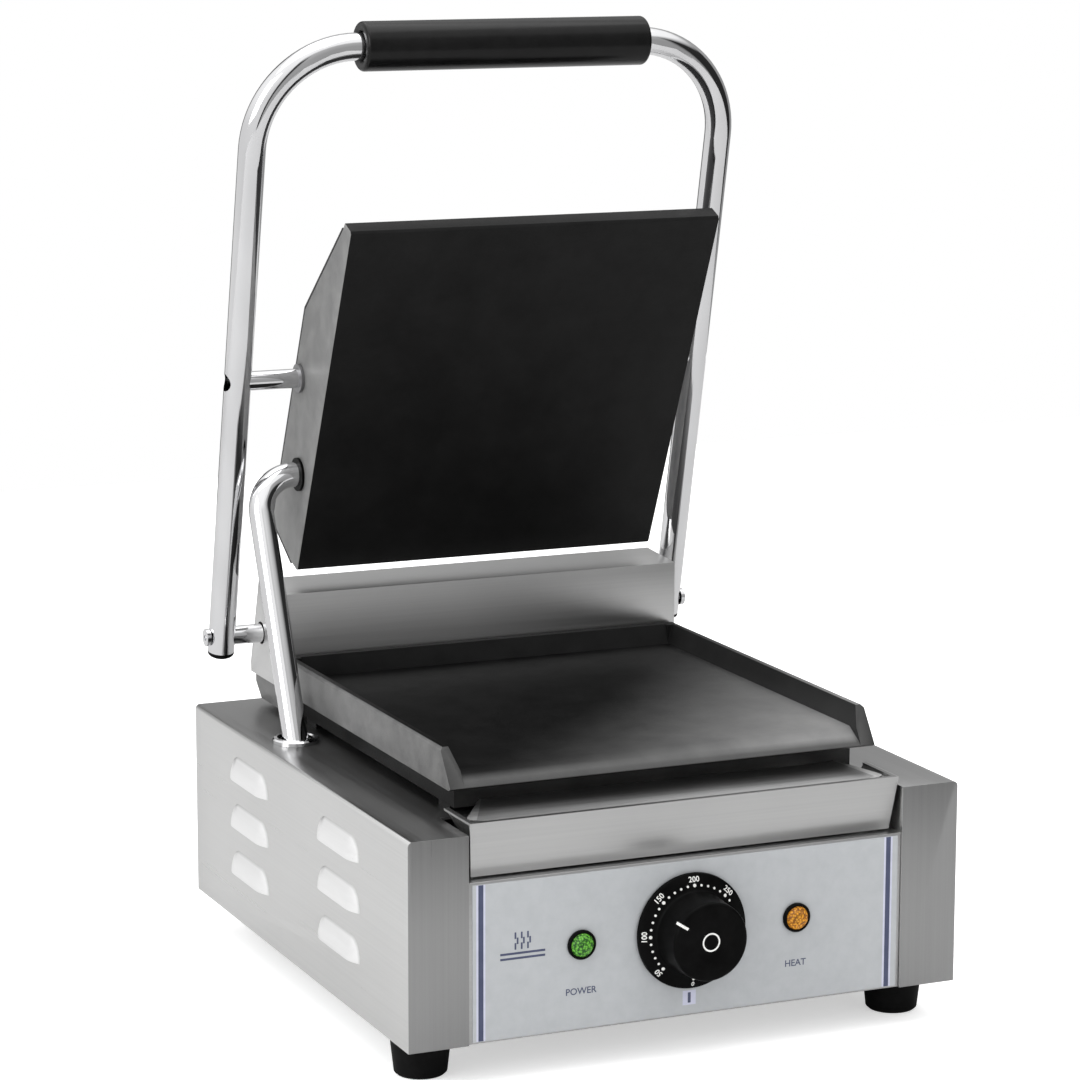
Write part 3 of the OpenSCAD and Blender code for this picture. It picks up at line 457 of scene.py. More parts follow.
tree, shader, grain, tint = brushed("stainless", (0.64, 0.64, 0.635), (0.72, 0.72, 0.715), 0.30)
place, facing = axis_parts(tree, "Object"), axis_parts(tree, "Normal")
# masks for the painted shade on the front columns and the top, and the painted highlight on the louvres
columns_painted_shade = beyond(tree, maths(tree, "MULTIPLY", facing["Y"], -1.0), 0.8, 0.1)
top_painted_shade = beyond(tree, facing["Z"], 0.9, 0.05)
louvres_painted_highlight = beyond(tree, maths(tree, "ABSOLUTE", place["X"]), FLAT_SIDE_X, 0.0006)
# painted shade: columns and top tinted darker; painted highlight: louvres tinted nearly white
tint = coat_over(tree, shader, tint, columns_painted_shade, two_tints(tree, grain, 0.33, 0.38))
tint = coat_over(tree, shader, tint, top_painted_shade, two_tints(tree, grain, 0.34, 0.42))
coat_over(tree, shader, tint, louvres_painted_highlight, two_tints(tree, grain, 0.93, 0.98))
print("stainless has", len(tree.nodes), "nodes")

# %% The tray's steel, with painted shade on its sloping guard
tree, shader, grain, tint = brushed("tray_steel", (0.52, 0.52, 0.52), (0.60, 0.60, 0.595), 0.34,
                                    fineness=700.0, across=1.0)
facing = axis_parts(tree, "Normal")
sloping = beyond(tree, facing["Z"], 0.9, 0.05)
middle = maths(tree, "LESS_THAN", maths(tree, "ABSOLUTE", facing["X"]), 0.1)
# painted shade: the sloping guard under the plate is tinted darker than its folded ends
guard_painted_shade = maths(tree, "MULTIPLY", sloping, middle)
coat_over(tree, shader, tint, guard_painted_shade, two_tints(tree, grain, 0.30, 0.38))
print("tray_steel has", len(tree.nodes), "nodes")

# %% The other brushed metals
brushed("cover_steel", (0.60, 0.60, 0.60), (0.69, 0.69, 0.685), 0.34, across=1.0)
brushed("panel_steel", (0.46, 0.46, 0.46), (0.54, 0.54, 0.54), 0.32, across=1.0)
brushed("zinc_steel", (0.40, 0.41, 0.42), (0.52, 0.52, 0.50), 0.38, fineness=300.0)
brushed("spring_steel", (0.24, 0.24, 0.25), (0.34, 0.34, 0.34), 0.35, fineness=400.0)
brushed("bronze", (0.42, 0.26, 0.12), (0.55, 0.36, 0.17), 0.33, fineness=500.0)
brushed("element_sheath", (0.16, 0.15, 0.14), (0.26, 0.24, 0.22), 0.45, fineness=500.0)
print("brushed metals:", list(materials))

# %% [markdown]
# ### Chrome
# The handle is chromed steel tube. Chrome is nearly a mirror, so its gloss must not be perfect: faint
# smudges and a very slight waviness of the tube keep the reflections alive.

# %% Chrome
tree, shader = start_material("chrome", (0.78, 0.78, 0.79), 0.06, metal=1.0)
wipe = use(tree, smudges, Size=30.0, Cover=0.45)
vary(tree, wipe["Smudge"], 0.045, 0.12, shader.inputs["Roughness"])
waves = noise(tree, stretched(tree, (60, 60, 14)), detail=1.0)
tint_between(tree, waves, (0.70, 0.70, 0.71), (0.77, 0.77, 0.78), shader.inputs["Base Color"])
relief(tree, waves, shader, 0.05, 0.0002)
print("chrome has", len(tree.nodes), "nodes")

# %% [markdown]
# ### Castings
# Both plates are cast iron with a baked black enamel where they cook: satin, with a fine grain. Their
# outer sides are bare and lighter, so each plate's material tells its surfaces apart by place and by
# the face's normal, both taken in the plate's own coordinates. Softened masks hide the change.

# %% Castings
def casting(name, dark, light, worn, rough, pits=0.35, **plain):
    """A cast skin: mottled between two tints, pitted, and paler where its edges are worn."""
    tree, shader = start_material(name, dark, rough, **plain)
    skin = use(tree, cast_skin)
    wear = use(tree, edge_wear)
    smear = use(tree, smudges, Size=12.0, Cover=0.5)
    body = ramp(tree, skin["Mottle"], (0.35, dark), (0.68, light))
    tint = tree.nodes.new("ShaderNodeMix")
    tint.data_type = "RGBA"
    link(tree, maths(tree, "MULTIPLY", wear["Edge"], 0.5), tint.inputs["Factor"])
    link(tree, body, tint.inputs["A"])
    tint.inputs["B"].default_value = (*worn, 1)
    link(tree, tint.outputs["Result"], shader.inputs["Base Color"])
    gloss = maths(tree, "MULTIPLY_ADD", skin["Mottle"], 0.6, maths(tree, "MULTIPLY", smear["Smudge"], 0.4))
    vary(tree, gloss, rough - 0.09, rough + 0.11, shader.inputs["Roughness"])
    both = maths(tree, "MULTIPLY_ADD", skin["Mottle"], 0.5, skin["Pits"])
    relief(tree, both, shader, pits, 0.00022)
    return tree, shader, tint


casting("black_paint", (0.008, 0.008, 0.009), (0.014, 0.014, 0.015), (0.07, 0.07, 0.07), 0.42,
        pits=0.2, Specular_IOR_Level=0.25)
print("black_paint is ready")

# %% [markdown]
# The lower plate has four looks. It is black enamel inside, dark bare iron on its front lip, grey bare
# iron on its outer sides, and paler on the cooking face towards its front right corner. The enamel lies
# over all, and each other look has a mask of its own. A mask that needs both a place and a direction is
# two masks multiplied. The paler corner is a soft ramp over X minus Y, which grows along that diagonal,
# and it shows only where the face is flat.

# %% The lower plate's four masks
RIM_X, LIP_Y = 0.1105, 0.105      # m from the middle, where the outer sides and the front lip begin
PALER_FROM, PALER_OVER = 0.02, 0.18

tree, shader, tint = casting("cast_iron", (0.055, 0.055, 0.055), (0.11, 0.11, 0.108), (0.20, 0.20, 0.20),
                             0.42)
place, facing = axis_parts(tree, "Object"), axis_parts(tree, "Normal")
side = maths(tree, "MULTIPLY", beyond(tree, maths(tree, "ABSOLUTE", place["X"]), RIM_X, 0.001),
             beyond(tree, maths(tree, "ABSOLUTE", facing["X"]), 0.5, 0.2))
lip = maths(tree, "MULTIPLY", beyond(tree, maths(tree, "MULTIPLY", facing["Y"], -1.0), 0.35, 0.2),
            beyond(tree, maths(tree, "MULTIPLY", place["Y"], -1.0), LIP_Y, 0.002))
# the cooking face is tinted paler towards its front right corner
diagonal = maths(tree, "SUBTRACT", place["X"], place["Y"])
paler_corner = maths(tree, "POWER", beyond(tree, diagonal, PALER_FROM, PALER_OVER), 1.5)
flat = beyond(tree, facing["Z"], 0.8, 0.1)
print("masks: side from", RIM_X, "m, lip from", LIP_Y, "m")

# %% The lower plate's tints
mottle = use(tree, cast_skin, Mottle_size=60.0)["Mottle"]
enamel = two_tints(tree, mottle, (0.003, 0.003, 0.003), (0.007, 0.007, 0.007))
lip_tint = two_tints(tree, mottle, (0.012, 0.012, 0.012), (0.028, 0.028, 0.027))
paler_corner_tint = two_tints(tree, mottle, (0.13, 0.13, 0.13), (0.17, 0.17, 0.168))
inside = coat_over(tree, shader, enamel, lip, lip_tint)
inside = coat_over(tree, shader, inside, maths(tree, "MULTIPLY", paler_corner, flat), paler_corner_tint)
coat_over(tree, shader, inside, side, tint.outputs["Result"])
bare_and_paler = maths(tree, "MAXIMUM", paler_corner, maths(tree, "MAXIMUM", side, lip))
vary(tree, bare_and_paler, 0.13, 0.6, shader.inputs["Specular IOR Level"])
print("cast_iron has", len(tree.nodes), "nodes")

# %% The upper plate, black on its cooking face and bare at its two sides
tree, shader, tint = casting("platen_iron", (0.14, 0.14, 0.14), (0.20, 0.20, 0.197), (0.27, 0.27, 0.27),
                             0.46)
facing = axis_parts(tree, "Normal")
is_side = beyond(tree, maths(tree, "ABSOLUTE", facing["X"]), 0.6, 0.15)
mottle = use(tree, cast_skin, Mottle_size=40.0)["Mottle"]
enamel = two_tints(tree, mottle, (0.006, 0.006, 0.006), (0.010, 0.010, 0.010))
coat_over(tree, shader, enamel, is_side, tint.outputs["Result"])
vary(tree, is_side, 0.13, 0.5, shader.inputs["Specular IOR Level"])
print("platen_iron has", len(tree.nodes), "nodes")

# %% [markdown]
# ### Mouldings, rubber and inks
# Moulded plastic has a fine spark-eroded texture and a broad sheen. Rubber is duller. A low specular
# level keeps these blacks black under the bright room, where a raised roughness would only spread the
# sheen into grey. The panel's film and its inks are thin plastics too, and use the same recipe.

# %% Mouldings and rubber
def moulding(name, dark, light, rough, grain=2600.0, strength=0.12, **plain):
    """A moulded or printed plastic: fine pits, a faint mottle and smudged gloss."""
    tree, shader = start_material(name, dark, rough, **plain)
    skin = use(tree, cast_skin, Pit_size=grain, Mottle_size=160.0)
    smear = use(tree, smudges, Size=45.0, Cover=0.5)
    tint_between(tree, skin["Mottle"], dark, light, shader.inputs["Base Color"])
    gloss = maths(tree, "MULTIPLY_ADD", skin["Pits"], 0.5, maths(tree, "MULTIPLY", smear["Smudge"], 0.5))
    vary(tree, gloss, rough - 0.06, rough + 0.10, shader.inputs["Roughness"])
    relief(tree, skin["Pits"], shader, strength, 0.00008)


moulding("black_moulding", (0.002, 0.002, 0.002), (0.004, 0.004, 0.004), 0.36, Specular_IOR_Level=0.04)
moulding("grip_moulding", (0.003, 0.003, 0.003), (0.006, 0.006, 0.006), 0.24, grain=1800.0,
         Specular_IOR_Level=0.22)
moulding("rubber", (0.003, 0.003, 0.003), (0.006, 0.006, 0.006), 0.58, strength=0.25,
         Specular_IOR_Level=0.08)
moulding("thermostat_case", (0.07, 0.07, 0.07), (0.12, 0.12, 0.12), 0.45)
moulding("dark_screw", (0.03, 0.03, 0.03), (0.06, 0.06, 0.06), 0.40)
moulding("ceramic_block", (0.62, 0.60, 0.54), (0.74, 0.72, 0.66), 0.50)
moulding("wire_sleeve", (0.20, 0.10, 0.05), (0.30, 0.16, 0.08), 0.60)
print("mouldings:", list(materials)[-7:])

# %% The printed film and its inks
moulding("fascia", (0.405, 0.42, 0.435), (0.44, 0.455, 0.47), 0.42, grain=1200.0, strength=0.04)
moulding("blue_ink", (0.045, 0.055, 0.110), (0.060, 0.070, 0.135), 0.45, strength=0.03)
moulding("lavender_ink", (0.50, 0.51, 0.63), (0.57, 0.58, 0.70), 0.45, strength=0.03)
moulding("white_ink", (0.72, 0.72, 0.70), (0.85, 0.85, 0.83), 0.50, strength=0.05)
print("film and inks:", list(materials)[-4:])

# %% [markdown]
# ### Lamp lenses
# The lenses are tinted clear plastic over a small bulb. Full transmission would show the holder behind
# them, so they get a part of it. Their faint glow and their cells are painted glints of the prisms: each
# cell is deep in tint at its edge, and brighter in tint and glow in its middle.

# %% Lamp lenses
def lens(name, deep, bright, glow):
    """A lens with painted glints: brighter tint and glow in the middle of each cell, deep at its edges."""
    tree, shader = start_material(name, bright, 0.12, Transmission_Weight=0.35, IOR=1.49)
    cells = tree.nodes.new("ShaderNodeTexVoronoi")
    cells.inputs["Scale"].default_value = 1.0
    link(tree, stretched(tree, (900, 900, 900)), cells.inputs["Vector"])
    # painted glints: each cell is tinted brighter and glows more in its middle
    painted_glint = maths(tree, "MULTIPLY_ADD", cells.outputs["Distance"], -1.0, 1.0, clamp=True)
    tint_between(tree, painted_glint, deep, bright, shader.inputs["Base Color"])
    link(tree, ramp(tree, painted_glint, (0.35, deep), (0.9, bright)), shader.inputs["Emission Color"])
    shader.inputs["Emission Strength"].default_value = glow
    relief(tree, cells.outputs["Distance"], shader, 0.5, 0.0004)


lens("green_lens", (0.010, 0.085, 0.004), (0.16, 0.50, 0.05), 0.22)
lens("amber_lens", (0.22, 0.075, 0.002), (0.85, 0.38, 0.02), 0.22)
print("materials:", len(materials))

# %% [markdown]
# ## Finishes onto the CAD nodes
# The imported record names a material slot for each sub-part. Giving every node the finish of its slot
# dresses the whole press in one loop. Three nodes look different from the rest of their slot, so a
# short list gives them their own finish: the platen's bushes are dark, the rear cover is brushed
# across, and the upper plate is bare at its sides.

# %% Every CAD node gets the finish of its slot
slot_of = {row["node"]: row["material_slot"] for row in frame["record"]["subparts"]}
OWN_FINISH = {"platen_bushes": "spring_steel", "rear_cover": "cover_steel", "upper_platen": "platen_iron"}
for name, node in nodes.items():
    finish = materials[OWN_FINISH.get(name, slot_of[name])]
    node.data.materials.clear()
    node.data.materials.append(finish)
print("dressed", len(nodes), "nodes in", len(set(slot_of.values())), "finishes")

# %% [markdown]
# ## Edges that catch the light
# Folded sheet and castings have no knife edges: a small radius on each catches a thin bright line, and
# that line is most of what makes metal look solid. The CAD edges are sharp. A copy of the node's mesh
# is merged, its flat faces are joined, and a Bevel modifier rounds just the edges over an angle. The
# arc stays inside the solid's corner, so the copy fits the CAD box. The housing's louvres meet its
# side at a shallow angle, so its copy rounds only the sharp folds. Tubes and other round parts need no
# bevel. Theirs are copies with smooth shading alone.

# %% Helpers for rounded copies
def make_active(piece):
    """Selects one piece alone and makes it the active one."""
    deselect()
    piece.select_set(True)
    bpy.context.view_layer.objects.active = piece


def apply_modifiers(piece):
    make_active(piece)
    for modifier in list(piece.modifiers):
        bpy.ops.object.modifier_apply(modifier=modifier.name)


def dress(piece, finish, body, *stands_for):
    """Gives a piece its finish and its body, and hides the CAD nodes that it stands for."""
    piece.data.materials.clear()
    piece.data.materials.append(materials[finish])
    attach(piece, body)
    if stands_for:
        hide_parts(*stands_for)
    return piece


body_of = {name: node["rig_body"] for name, node in nodes.items()}


def rounded_copy(node, radius, smooth=40, corner=32):
    """The CAD node's own shape. Edges over corner degrees are rounded to a radius in mm."""
    make_active(nodes[node])
    bpy.ops.object.duplicate()
    piece = bpy.context.active_object
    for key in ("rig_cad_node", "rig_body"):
        del piece[key]
    piece.parent = None
    piece.name = node + "_finished"
    piece.data.name = piece.name
    bpy.ops.object.mode_set(mode="EDIT")
    bpy.ops.mesh.select_all(action="SELECT")
    bpy.ops.mesh.remove_doubles(threshold=0.00001)
    bpy.ops.mesh.customdata_custom_splitnormals_clear()
    bpy.ops.mesh.dissolve_limited(angle_limit=math.radians(0.5))
    bpy.ops.object.mode_set(mode="OBJECT")
    if radius:
        bevel = piece.modifiers.new("rounded_edges", "BEVEL")
        bevel.width = radius * MM
        bevel.segments = 3
        bevel.limit_method = "ANGLE"
        bevel.angle_limit = math.radians(corner)
    apply_modifiers(piece)
    bpy.ops.object.shade_smooth_by_angle(angle=math.radians(smooth))
    dress(piece, OWN_FINISH.get(node, slot_of[node]), body_of[node], node)
    print(piece.name, len(piece.data.polygons), "faces")
    return piece


# %% Rounded copies of the sheet metal and the castings
ROUNDED = {"rear_cover": 0.5, "rear_panel": 0.2, "drip_tray": 0.3, "control_panel": 0.35,
           "lower_plate": 0.8, "platen_cover": 0.5, "hinge_bracket": 0.7, "upper_platen": 0.8}

rounded_copy("housing_shell", 0.35, smooth=20, corner=60)       # its louvres meet the side at 32 degrees
for node, radius in ROUNDED.items():
    rounded_copy(node, radius)

# %% Smooth copies of the tubes and the small round parts
for node in ("handle_frame", "conduit_tube", "hinge_axle", "platen_studs", "conduit_ferrule",
             "feet", "tube_end_plugs", "conduit_bush", "axle_screws"):
    rounded_copy(node, 0, smooth=35)

# %% [markdown]
# ## Turned parts
# The dial, the grip and the lamps are turned shapes. A lathe would cut them from a profile; here a
# filled circle is extruded ring by ring, and each new ring is scaled to the profile's next radius.
# That is quicker to change than a drawn outline, and it leaves clean rings of faces.

# %% A lathe made of extrude and resize
def named(name):
    """Names the piece that an operator has just made."""
    piece = bpy.context.active_object
    piece.name = name
    piece.data.name = name
    return piece


def turned(name, profile, steps=96):
    """Turns a profile of (radius, height) in mm about Z, with both ends closed."""
    deselect()
    radius, height = profile[0]
    bpy.ops.mesh.primitive_circle_add(vertices=steps, radius=radius * MM, fill_type="NGON",
                                      location=(0, 0, height * MM))
    piece = named(name)
    bpy.ops.object.transform_apply(location=True, rotation=True, scale=True)
    bpy.ops.object.mode_set(mode="EDIT")
    bpy.ops.mesh.select_all(action="SELECT")
    for (r1, h1), (r2, h2) in zip(profile, profile[1:]):
        bpy.ops.mesh.extrude_region_move(TRANSFORM_OT_translate={"value": (0, 0, (h2 - h1) * MM)})
        bpy.ops.transform.resize(value=(r2 / r1, r2 / r1, 1), center_override=(0, 0, h2 * MM))
    bpy.ops.mesh.select_all(action="SELECT")
    bpy.ops.mesh.normals_make_consistent(inside=False)
    bpy.ops.object.mode_set(mode="OBJECT")
    return piece


def set_in_place(piece, at, turn=(0, 0, 0)):
    """Turns and moves a finished piece, then puts its place in its mesh."""
    make_active(piece)
    piece.location = at
    piece.rotation_euler = turn
    bpy.ops.object.transform_apply(location=True, rotation=True, scale=True)
    return piece


def smooth(piece, angle=35):
    """Smooth shading, with edges sharper than the angle left crisp."""
    make_active(piece)
    bpy.ops.object.shade_smooth_by_angle(angle=math.radians(angle))
    return piece


def joined(name, pieces):
    """Several pieces made one mesh."""
    deselect()
    for piece in pieces:
        piece.select_set(True)
    bpy.context.view_layer.objects.active = pieces[0]
    bpy.ops.object.join()
    return named(name)


TO_FRONT = (math.pi / 2, 0, 0)      # turns +Z to the front and +Y up

# %% [markdown]
# ### The dial
# The thermostat's knob is one black moulding: a thin skirt with a gently sloping top that carries the
# scale, and a plain round grip. It turns, so all its print rides with it.

# %% The knob's moulding
knob_low, knob_high, knob_mid = span("thermostat_knob")
KNOB_BACK = (knob_mid.x, knob_high.y, knob_mid.z)
PRINT_ROOM = 0.1                      # mm, so the print on top stays within the box
KNOB_TALL = (knob_high.y - knob_low.y) / MM - PRINT_ROOM
SKIRT_R = (knob_high.x - knob_low.x) / 2 / MM
GRIP_R = 20.0
ROUND, ROUND_AT = 1.8, GRIP_R - 2.5   # the top edge's rounding, and the radius of its middle
CAP_SUNK = 0.25
SLOPE_IN, SLOPE_OUT = (22.2, 4.4), (SKIRT_R - 0.9, 2.7)

knob_profile = [(SKIRT_R - 0.5, 0), (SKIRT_R, 0.5), (SKIRT_R, 1.6), (SKIRT_R - 0.25, 2.3), SLOPE_OUT,
                SLOPE_IN, (21.0, 4.75), (20.35, 5.3), (GRIP_R, 6.2), (GRIP_R - 0.7, KNOB_TALL - 2.2)]
for step in range(1, 7):
    lean = math.radians(15 * step)
    knob_profile.append((ROUND_AT + ROUND * math.cos(lean), KNOB_TALL - ROUND + ROUND * math.sin(lean)))
knob_profile += [(9.0, KNOB_TALL), (8.6, KNOB_TALL - CAP_SUNK), (1.0, KNOB_TALL - CAP_SUNK)]
knob = set_in_place(smooth(turned("dial_knob", knob_profile, steps=128)), KNOB_BACK, TO_FRONT)
dress(knob, "black_moulding", body_of["thermostat_knob"], "thermostat_knob")
print("knob stands", round(KNOB_TALL, 1), "mm tall on a skirt of", round(SKIRT_R, 1), "mm")

# %% [markdown]
# The scale is printed: a dot every nine degrees, larger at the fifties, with the numbers outside them.
# Dots and numbers are thin raised meshes that lie on the skirt's slope, so they are first tilted by
# the slope's angle, and then turned round the dial's axis to their place.

# %% The scale's dots and numbers
SLOPE = math.atan2(SLOPE_IN[1] - SLOPE_OUT[1], SLOPE_OUT[0] - SLOPE_IN[0])
DOT_AT, NUMBER_AT, INK = 23.0, 25.75, 0.06
SCALE_START, SCALE_STEP, SCALE_DOTS = -135.0, 9.0, 22


def slope_height(radius):
    """Height of the skirt's sloping top at a radius, in mm."""
    return SLOPE_OUT[1] + (SLOPE_OUT[0] - radius) * math.tan(SLOPE)


def on_skirt(piece, radius, clockwise):
    """Lays a flat piece on the skirt, at a radius and an angle from the top of the dial."""
    set_in_place(piece, (0, radius * MM, (slope_height(radius) + INK / 2) * MM), (-SLOPE, 0, 0))
    return set_in_place(piece, (0, 0, 0), (0, 0, -math.radians(clockwise)))


def dot(name, radius):
    """A printed dot: a low disc with a rounded edge."""
    return turned(name, [(radius, -INK / 2), (radius, 0), (radius * 0.92, INK / 2)], steps=20)


def printed(words, height):
    """Lettering as a thin mesh in the XY plane, centred, with a height in mm."""
    deselect()
    bpy.ops.object.text_add()
    text = bpy.context.active_object
    text.data.body = words
    text.data.size = height * MM * 1.4
    text.data.align_x, text.data.align_y = "CENTER", "CENTER"
    text.data.extrude = INK / 2 * MM
    text.data.offset = 0.00006        # makes the strokes a little bolder
    text.data.resolution_u = 3
    bpy.ops.object.convert(target="MESH")
    return bpy.context.active_object


print_parts = []
for step in range(SCALE_DOTS):
    major = step % 5 == 0
    clockwise = SCALE_START + step * SCALE_STEP
    print_parts.append(on_skirt(dot("dot", 0.85 if major else 0.62), DOT_AT, clockwise))
    if major:
        print_parts.append(on_skirt(printed(str(50 + step * 10), 2.7), NUMBER_AT, clockwise))
print_parts.append(on_skirt(dot("dot", 0.7), DOT_AT + 0.3, 180))
print_parts.append(on_skirt(printed("0", 2.3), NUMBER_AT, 180))
scale_print = set_in_place(joined("dial_scale", print_parts), KNOB_BACK, TO_FRONT)
dress(scale_print, "white_ink", body_of["thermostat_knob"])
print("scale print has", len(scale_print.data.polygons), "faces")

# %% [markdown]
# A white line runs from the top of the grip over its rounded edge and down its side, and a small ring
# marks the middle. A flat bar would float over the rounding. So the line's outer edge is extruded step
# by step along the grip's own profile, and Solidify gives the strip its thickness.

# %% The white pointer and ring on the grip
POINTER_TURN = 302.5      # degrees clockwise from the top
deselect()
bpy.ops.mesh.primitive_plane_add(size=1.3 * MM, location=(0, 0, 0))
pointer = named("dial_pointer")
bpy.ops.object.mode_set(mode="EDIT")
bpy.ops.mesh.select_all(action="DESELECT")
bpy.ops.object.mode_set(mode="OBJECT")
route = [(14.6, KNOB_TALL)]
for lean in (0, 0.5, 1.05, 1.53):
    route.append((ROUND_AT + ROUND * math.sin(lean), KNOB_TALL - ROUND + ROUND * math.cos(lean)))
route.append((GRIP_R - 0.66, KNOB_TALL - 4.5))
low_edge = [v for v in pointer.data.vertices if v.co.y < 0]
high_edge = [v for v in pointer.data.vertices if v.co.y > 0]
for corner in low_edge:
    corner.co.y, corner.co.z = route[0][0] * MM, route[0][1] * MM
for corner in high_edge:
    corner.co.y, corner.co.z = route[1][0] * MM, route[1][1] * MM
    corner.select = True
bpy.ops.object.mode_set(mode="EDIT")
bpy.ops.mesh.select_mode(type="EDGE")
for (r1, h1), (r2, h2) in zip(route[1:], route[2:]):
    along = (0, (r2 - r1) * MM, (h2 - h1) * MM)
    bpy.ops.mesh.extrude_region_move(TRANSFORM_OT_translate={"value": along})
bpy.ops.mesh.select_mode(type="VERT")
bpy.ops.object.mode_set(mode="OBJECT")
skin = pointer.modifiers.new("ink", "SOLIDIFY")
skin.thickness = 0.12 * MM
skin.offset = 0
apply_modifiers(pointer)
set_in_place(pointer, (0, 0, 0), (0, 0, -math.radians(POINTER_TURN)))

ring_profile = [(4.6, -INK), (4.6, INK / 2), (4.5, INK), (3.9, INK), (3.8, INK / 2), (3.8, -INK)]
ring = turned("ring", ring_profile, steps=64)
set_in_place(ring, (0, 0, (KNOB_TALL - CAP_SUNK) * MM))
marks = set_in_place(joined("dial_marks", [pointer, ring]), KNOB_BACK, TO_FRONT)
dress(marks, "white_ink", body_of["thermostat_knob"])
print("pointer and ring have", len(marks.data.polygons), "faces")

# %% [markdown]
# ### The lamps
# Each lamp is a moulded bezel with a bulging lens whose face is cut into small prisms, which is why it
# glitters. An ico sphere has just such facets: its front half is kept, flattened, and shaded flat.

# %% The lenses
def lamp_lens(name, node):
    """The front half of an ico sphere, as wide and as deep as the CAD lens."""
    low, high, middle = span(node)
    depth = (high.y - low.y) / (high.x - low.x) * 2
    deselect()
    bpy.ops.mesh.primitive_ico_sphere_add(subdivisions=4, radius=(high.x - low.x) / 2)
    piece = named(name)
    bpy.ops.object.mode_set(mode="EDIT")
    bpy.ops.mesh.select_all(action="SELECT")
    bpy.ops.mesh.bisect(plane_co=(0, 0, 0), plane_no=(0, 0, 1), use_fill=True, clear_inner=True)
    bpy.ops.mesh.select_all(action="SELECT")
    bpy.ops.transform.resize(value=(1, 1, depth), center_override=(0, 0, 0))
    bpy.ops.mesh.normals_make_consistent(inside=False)
    bpy.ops.object.mode_set(mode="OBJECT")
    for face in piece.data.polygons:
        if face.normal.z > 0.1:
            face.select = True
    bpy.ops.object.mode_set(mode="EDIT")
    bpy.ops.mesh.poke(offset=0.00008)
    bpy.ops.object.mode_set(mode="OBJECT")
    set_in_place(piece, (middle.x, high.y, middle.z), TO_FRONT)
    return dress(piece, slot_of[node], body_of[node], node)


for name, node in (("power_lens", "power_lamp_lens"), ("heat_lens", "heat_lamp_lens")):
    print(name, len(lamp_lens(name, node).data.polygons), "facets")
for node in ("power_lamp_holder", "heat_lamp_holder"):
    rounded_copy(node, 0)

# %% [markdown]
# ### The print on the front panel
# Two blue stripes with pale borders frame the panel. The words under the lamps are plain function names,
# and a plain sign of three rising heat lines over a plate stands at the left.

# %% Helpers for the print
film_low, film_high, film_mid = span("fascia_overlay")
PRINT_Y = film_low.y
lamp_mid = span("power_lamp_lens")[2]


def bar(name, width, height, x, z, layer=1):
    """A printed bar on the film's face: a thin plate, its size in mm and its place in m."""
    deselect()
    bpy.ops.mesh.primitive_cube_add(size=1)
    piece = named(name)
    piece.scale = (width * MM, height * MM, INK * MM * layer)
    bpy.ops.object.transform_apply(scale=True)
    corner = piece.modifiers.new("corner", "BEVEL")
    corner.width = min(0.3, width / 4, height / 4) * MM
    corner.segments = 2
    corner.limit_method = "ANGLE"
    apply_modifiers(piece)
    return set_in_place(piece, (x, PRINT_Y, z), TO_FRONT)


def label(words, x, z):
    """Lettering on the film's face."""
    return set_in_place(printed(words, LABEL_TALL), (x, PRINT_Y, z), TO_FRONT)


# %% The stripes, the labels and the index mark
STRIPE_X, STRIPE_W, BORDER_W = (-108.3 * MM, 107.3 * MM), 2.6, 1.0
LABEL_TALL, LABEL_DROP = 3.3, 23 * MM
INDEX_Z = knob_mid.z - 33.8 * MM

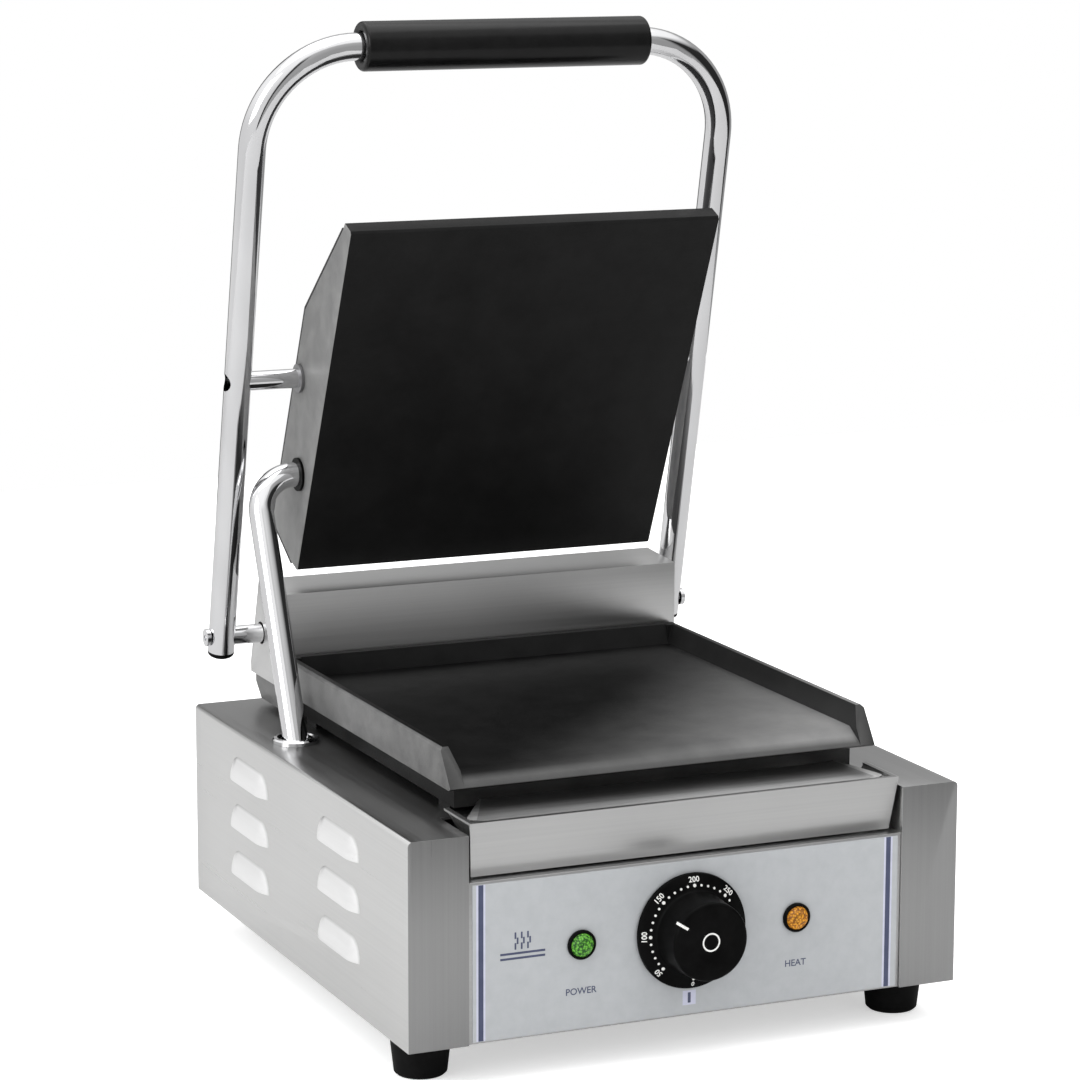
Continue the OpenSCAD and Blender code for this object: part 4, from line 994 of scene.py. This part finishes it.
tall = (film_high.z - film_low.z) / MM
blue, lavender = [], []
for x in STRIPE_X:
    blue.append(bar("stripe", STRIPE_W, tall - 0.4, x, film_mid.z, layer=2))
    lavender.append(bar("border", STRIPE_W + 2 * BORDER_W, tall - 0.3, x, film_mid.z))
blue.append(label("POWER", lamp_mid.x, lamp_mid.z - LABEL_DROP))
blue.append(label("HEAT", -lamp_mid.x, lamp_mid.z - LABEL_DROP))
blue.append(bar("index", 1.6, 5.2, knob_mid.x, INDEX_Z, layer=2))
lavender.append(bar("index_field", 7.0, 7.2, knob_mid.x, INDEX_Z))

# %% The sign: three rising heat lines over a plate's two lines
SIGN_X, SIGN_Z = -87 * MM, lamp_mid.z + 4 * MM

for offset in (-3.2, 0, 3.2):
    for step, side in enumerate((-0.55, 0.55, -0.55)):
        x, z = SIGN_X + (offset + side) * MM, SIGN_Z + (step * 2.6 - 1) * MM
        blue.append(bar("heat_line", 0.9, 3.2, x, z, layer=2))
for drop in (4.4, 6.8):
    blue.append(bar("plate_line", 23.0, 1.1, SIGN_X, SIGN_Z - drop * MM, layer=2))
dress(joined("panel_print_blue", blue), "blue_ink", "base")
dress(joined("panel_print_pale", lavender), "lavender_ink", "base")
print("panel print at y =", round(PRINT_Y / MM, 1), "mm")

# %% [markdown]
# ### The grip
# A black moulded sleeve is pushed over the handle's tube. Its ends are flat with a rounded edge and a
# slightly wider bore, and its long body is a plain cylinder. A cylinder with a bevel would have closed
# ends, so it is turned like the dial, from the bore's mouth to the other, and then laid along X on the
# handle's line.

# %% The grip's sleeve
grip_low, grip_high, grip_mid = span("handle_grip")
HALF = (grip_high.x - grip_low.x) / 2 / MM
GRIP_OUT = (grip_high.z - grip_low.z) / 2 / MM
BORE, EDGE = 7.25, 2.0        # mm, the bore's radius and the rounding of the ends

half_profile = [(BORE, -HALF + 3.0), (BORE + 0.9, -HALF + 0.3), (BORE + 1.3, -HALF),
                (GRIP_OUT - EDGE, -HALF)]
for step in range(1, 7):
    lean = math.radians(15 * step)
    half_profile.append((GRIP_OUT - EDGE + EDGE * math.sin(lean), -HALF + EDGE - EDGE * math.cos(lean)))
profile = half_profile + [(r, -h) for r, h in reversed(half_profile)]
sleeve = smooth(turned("grip_sleeve", profile, steps=96), 40)
set_in_place(sleeve, (grip_mid.x, grip_mid.y, grip_mid.z), (0, math.pi / 2, 0))
dress(sleeve, "grip_moulding", body_of["handle_grip"], "handle_grip")
print("grip is", round(2 * HALF), "mm long and", round(2 * GRIP_OUT, 1), "mm across")
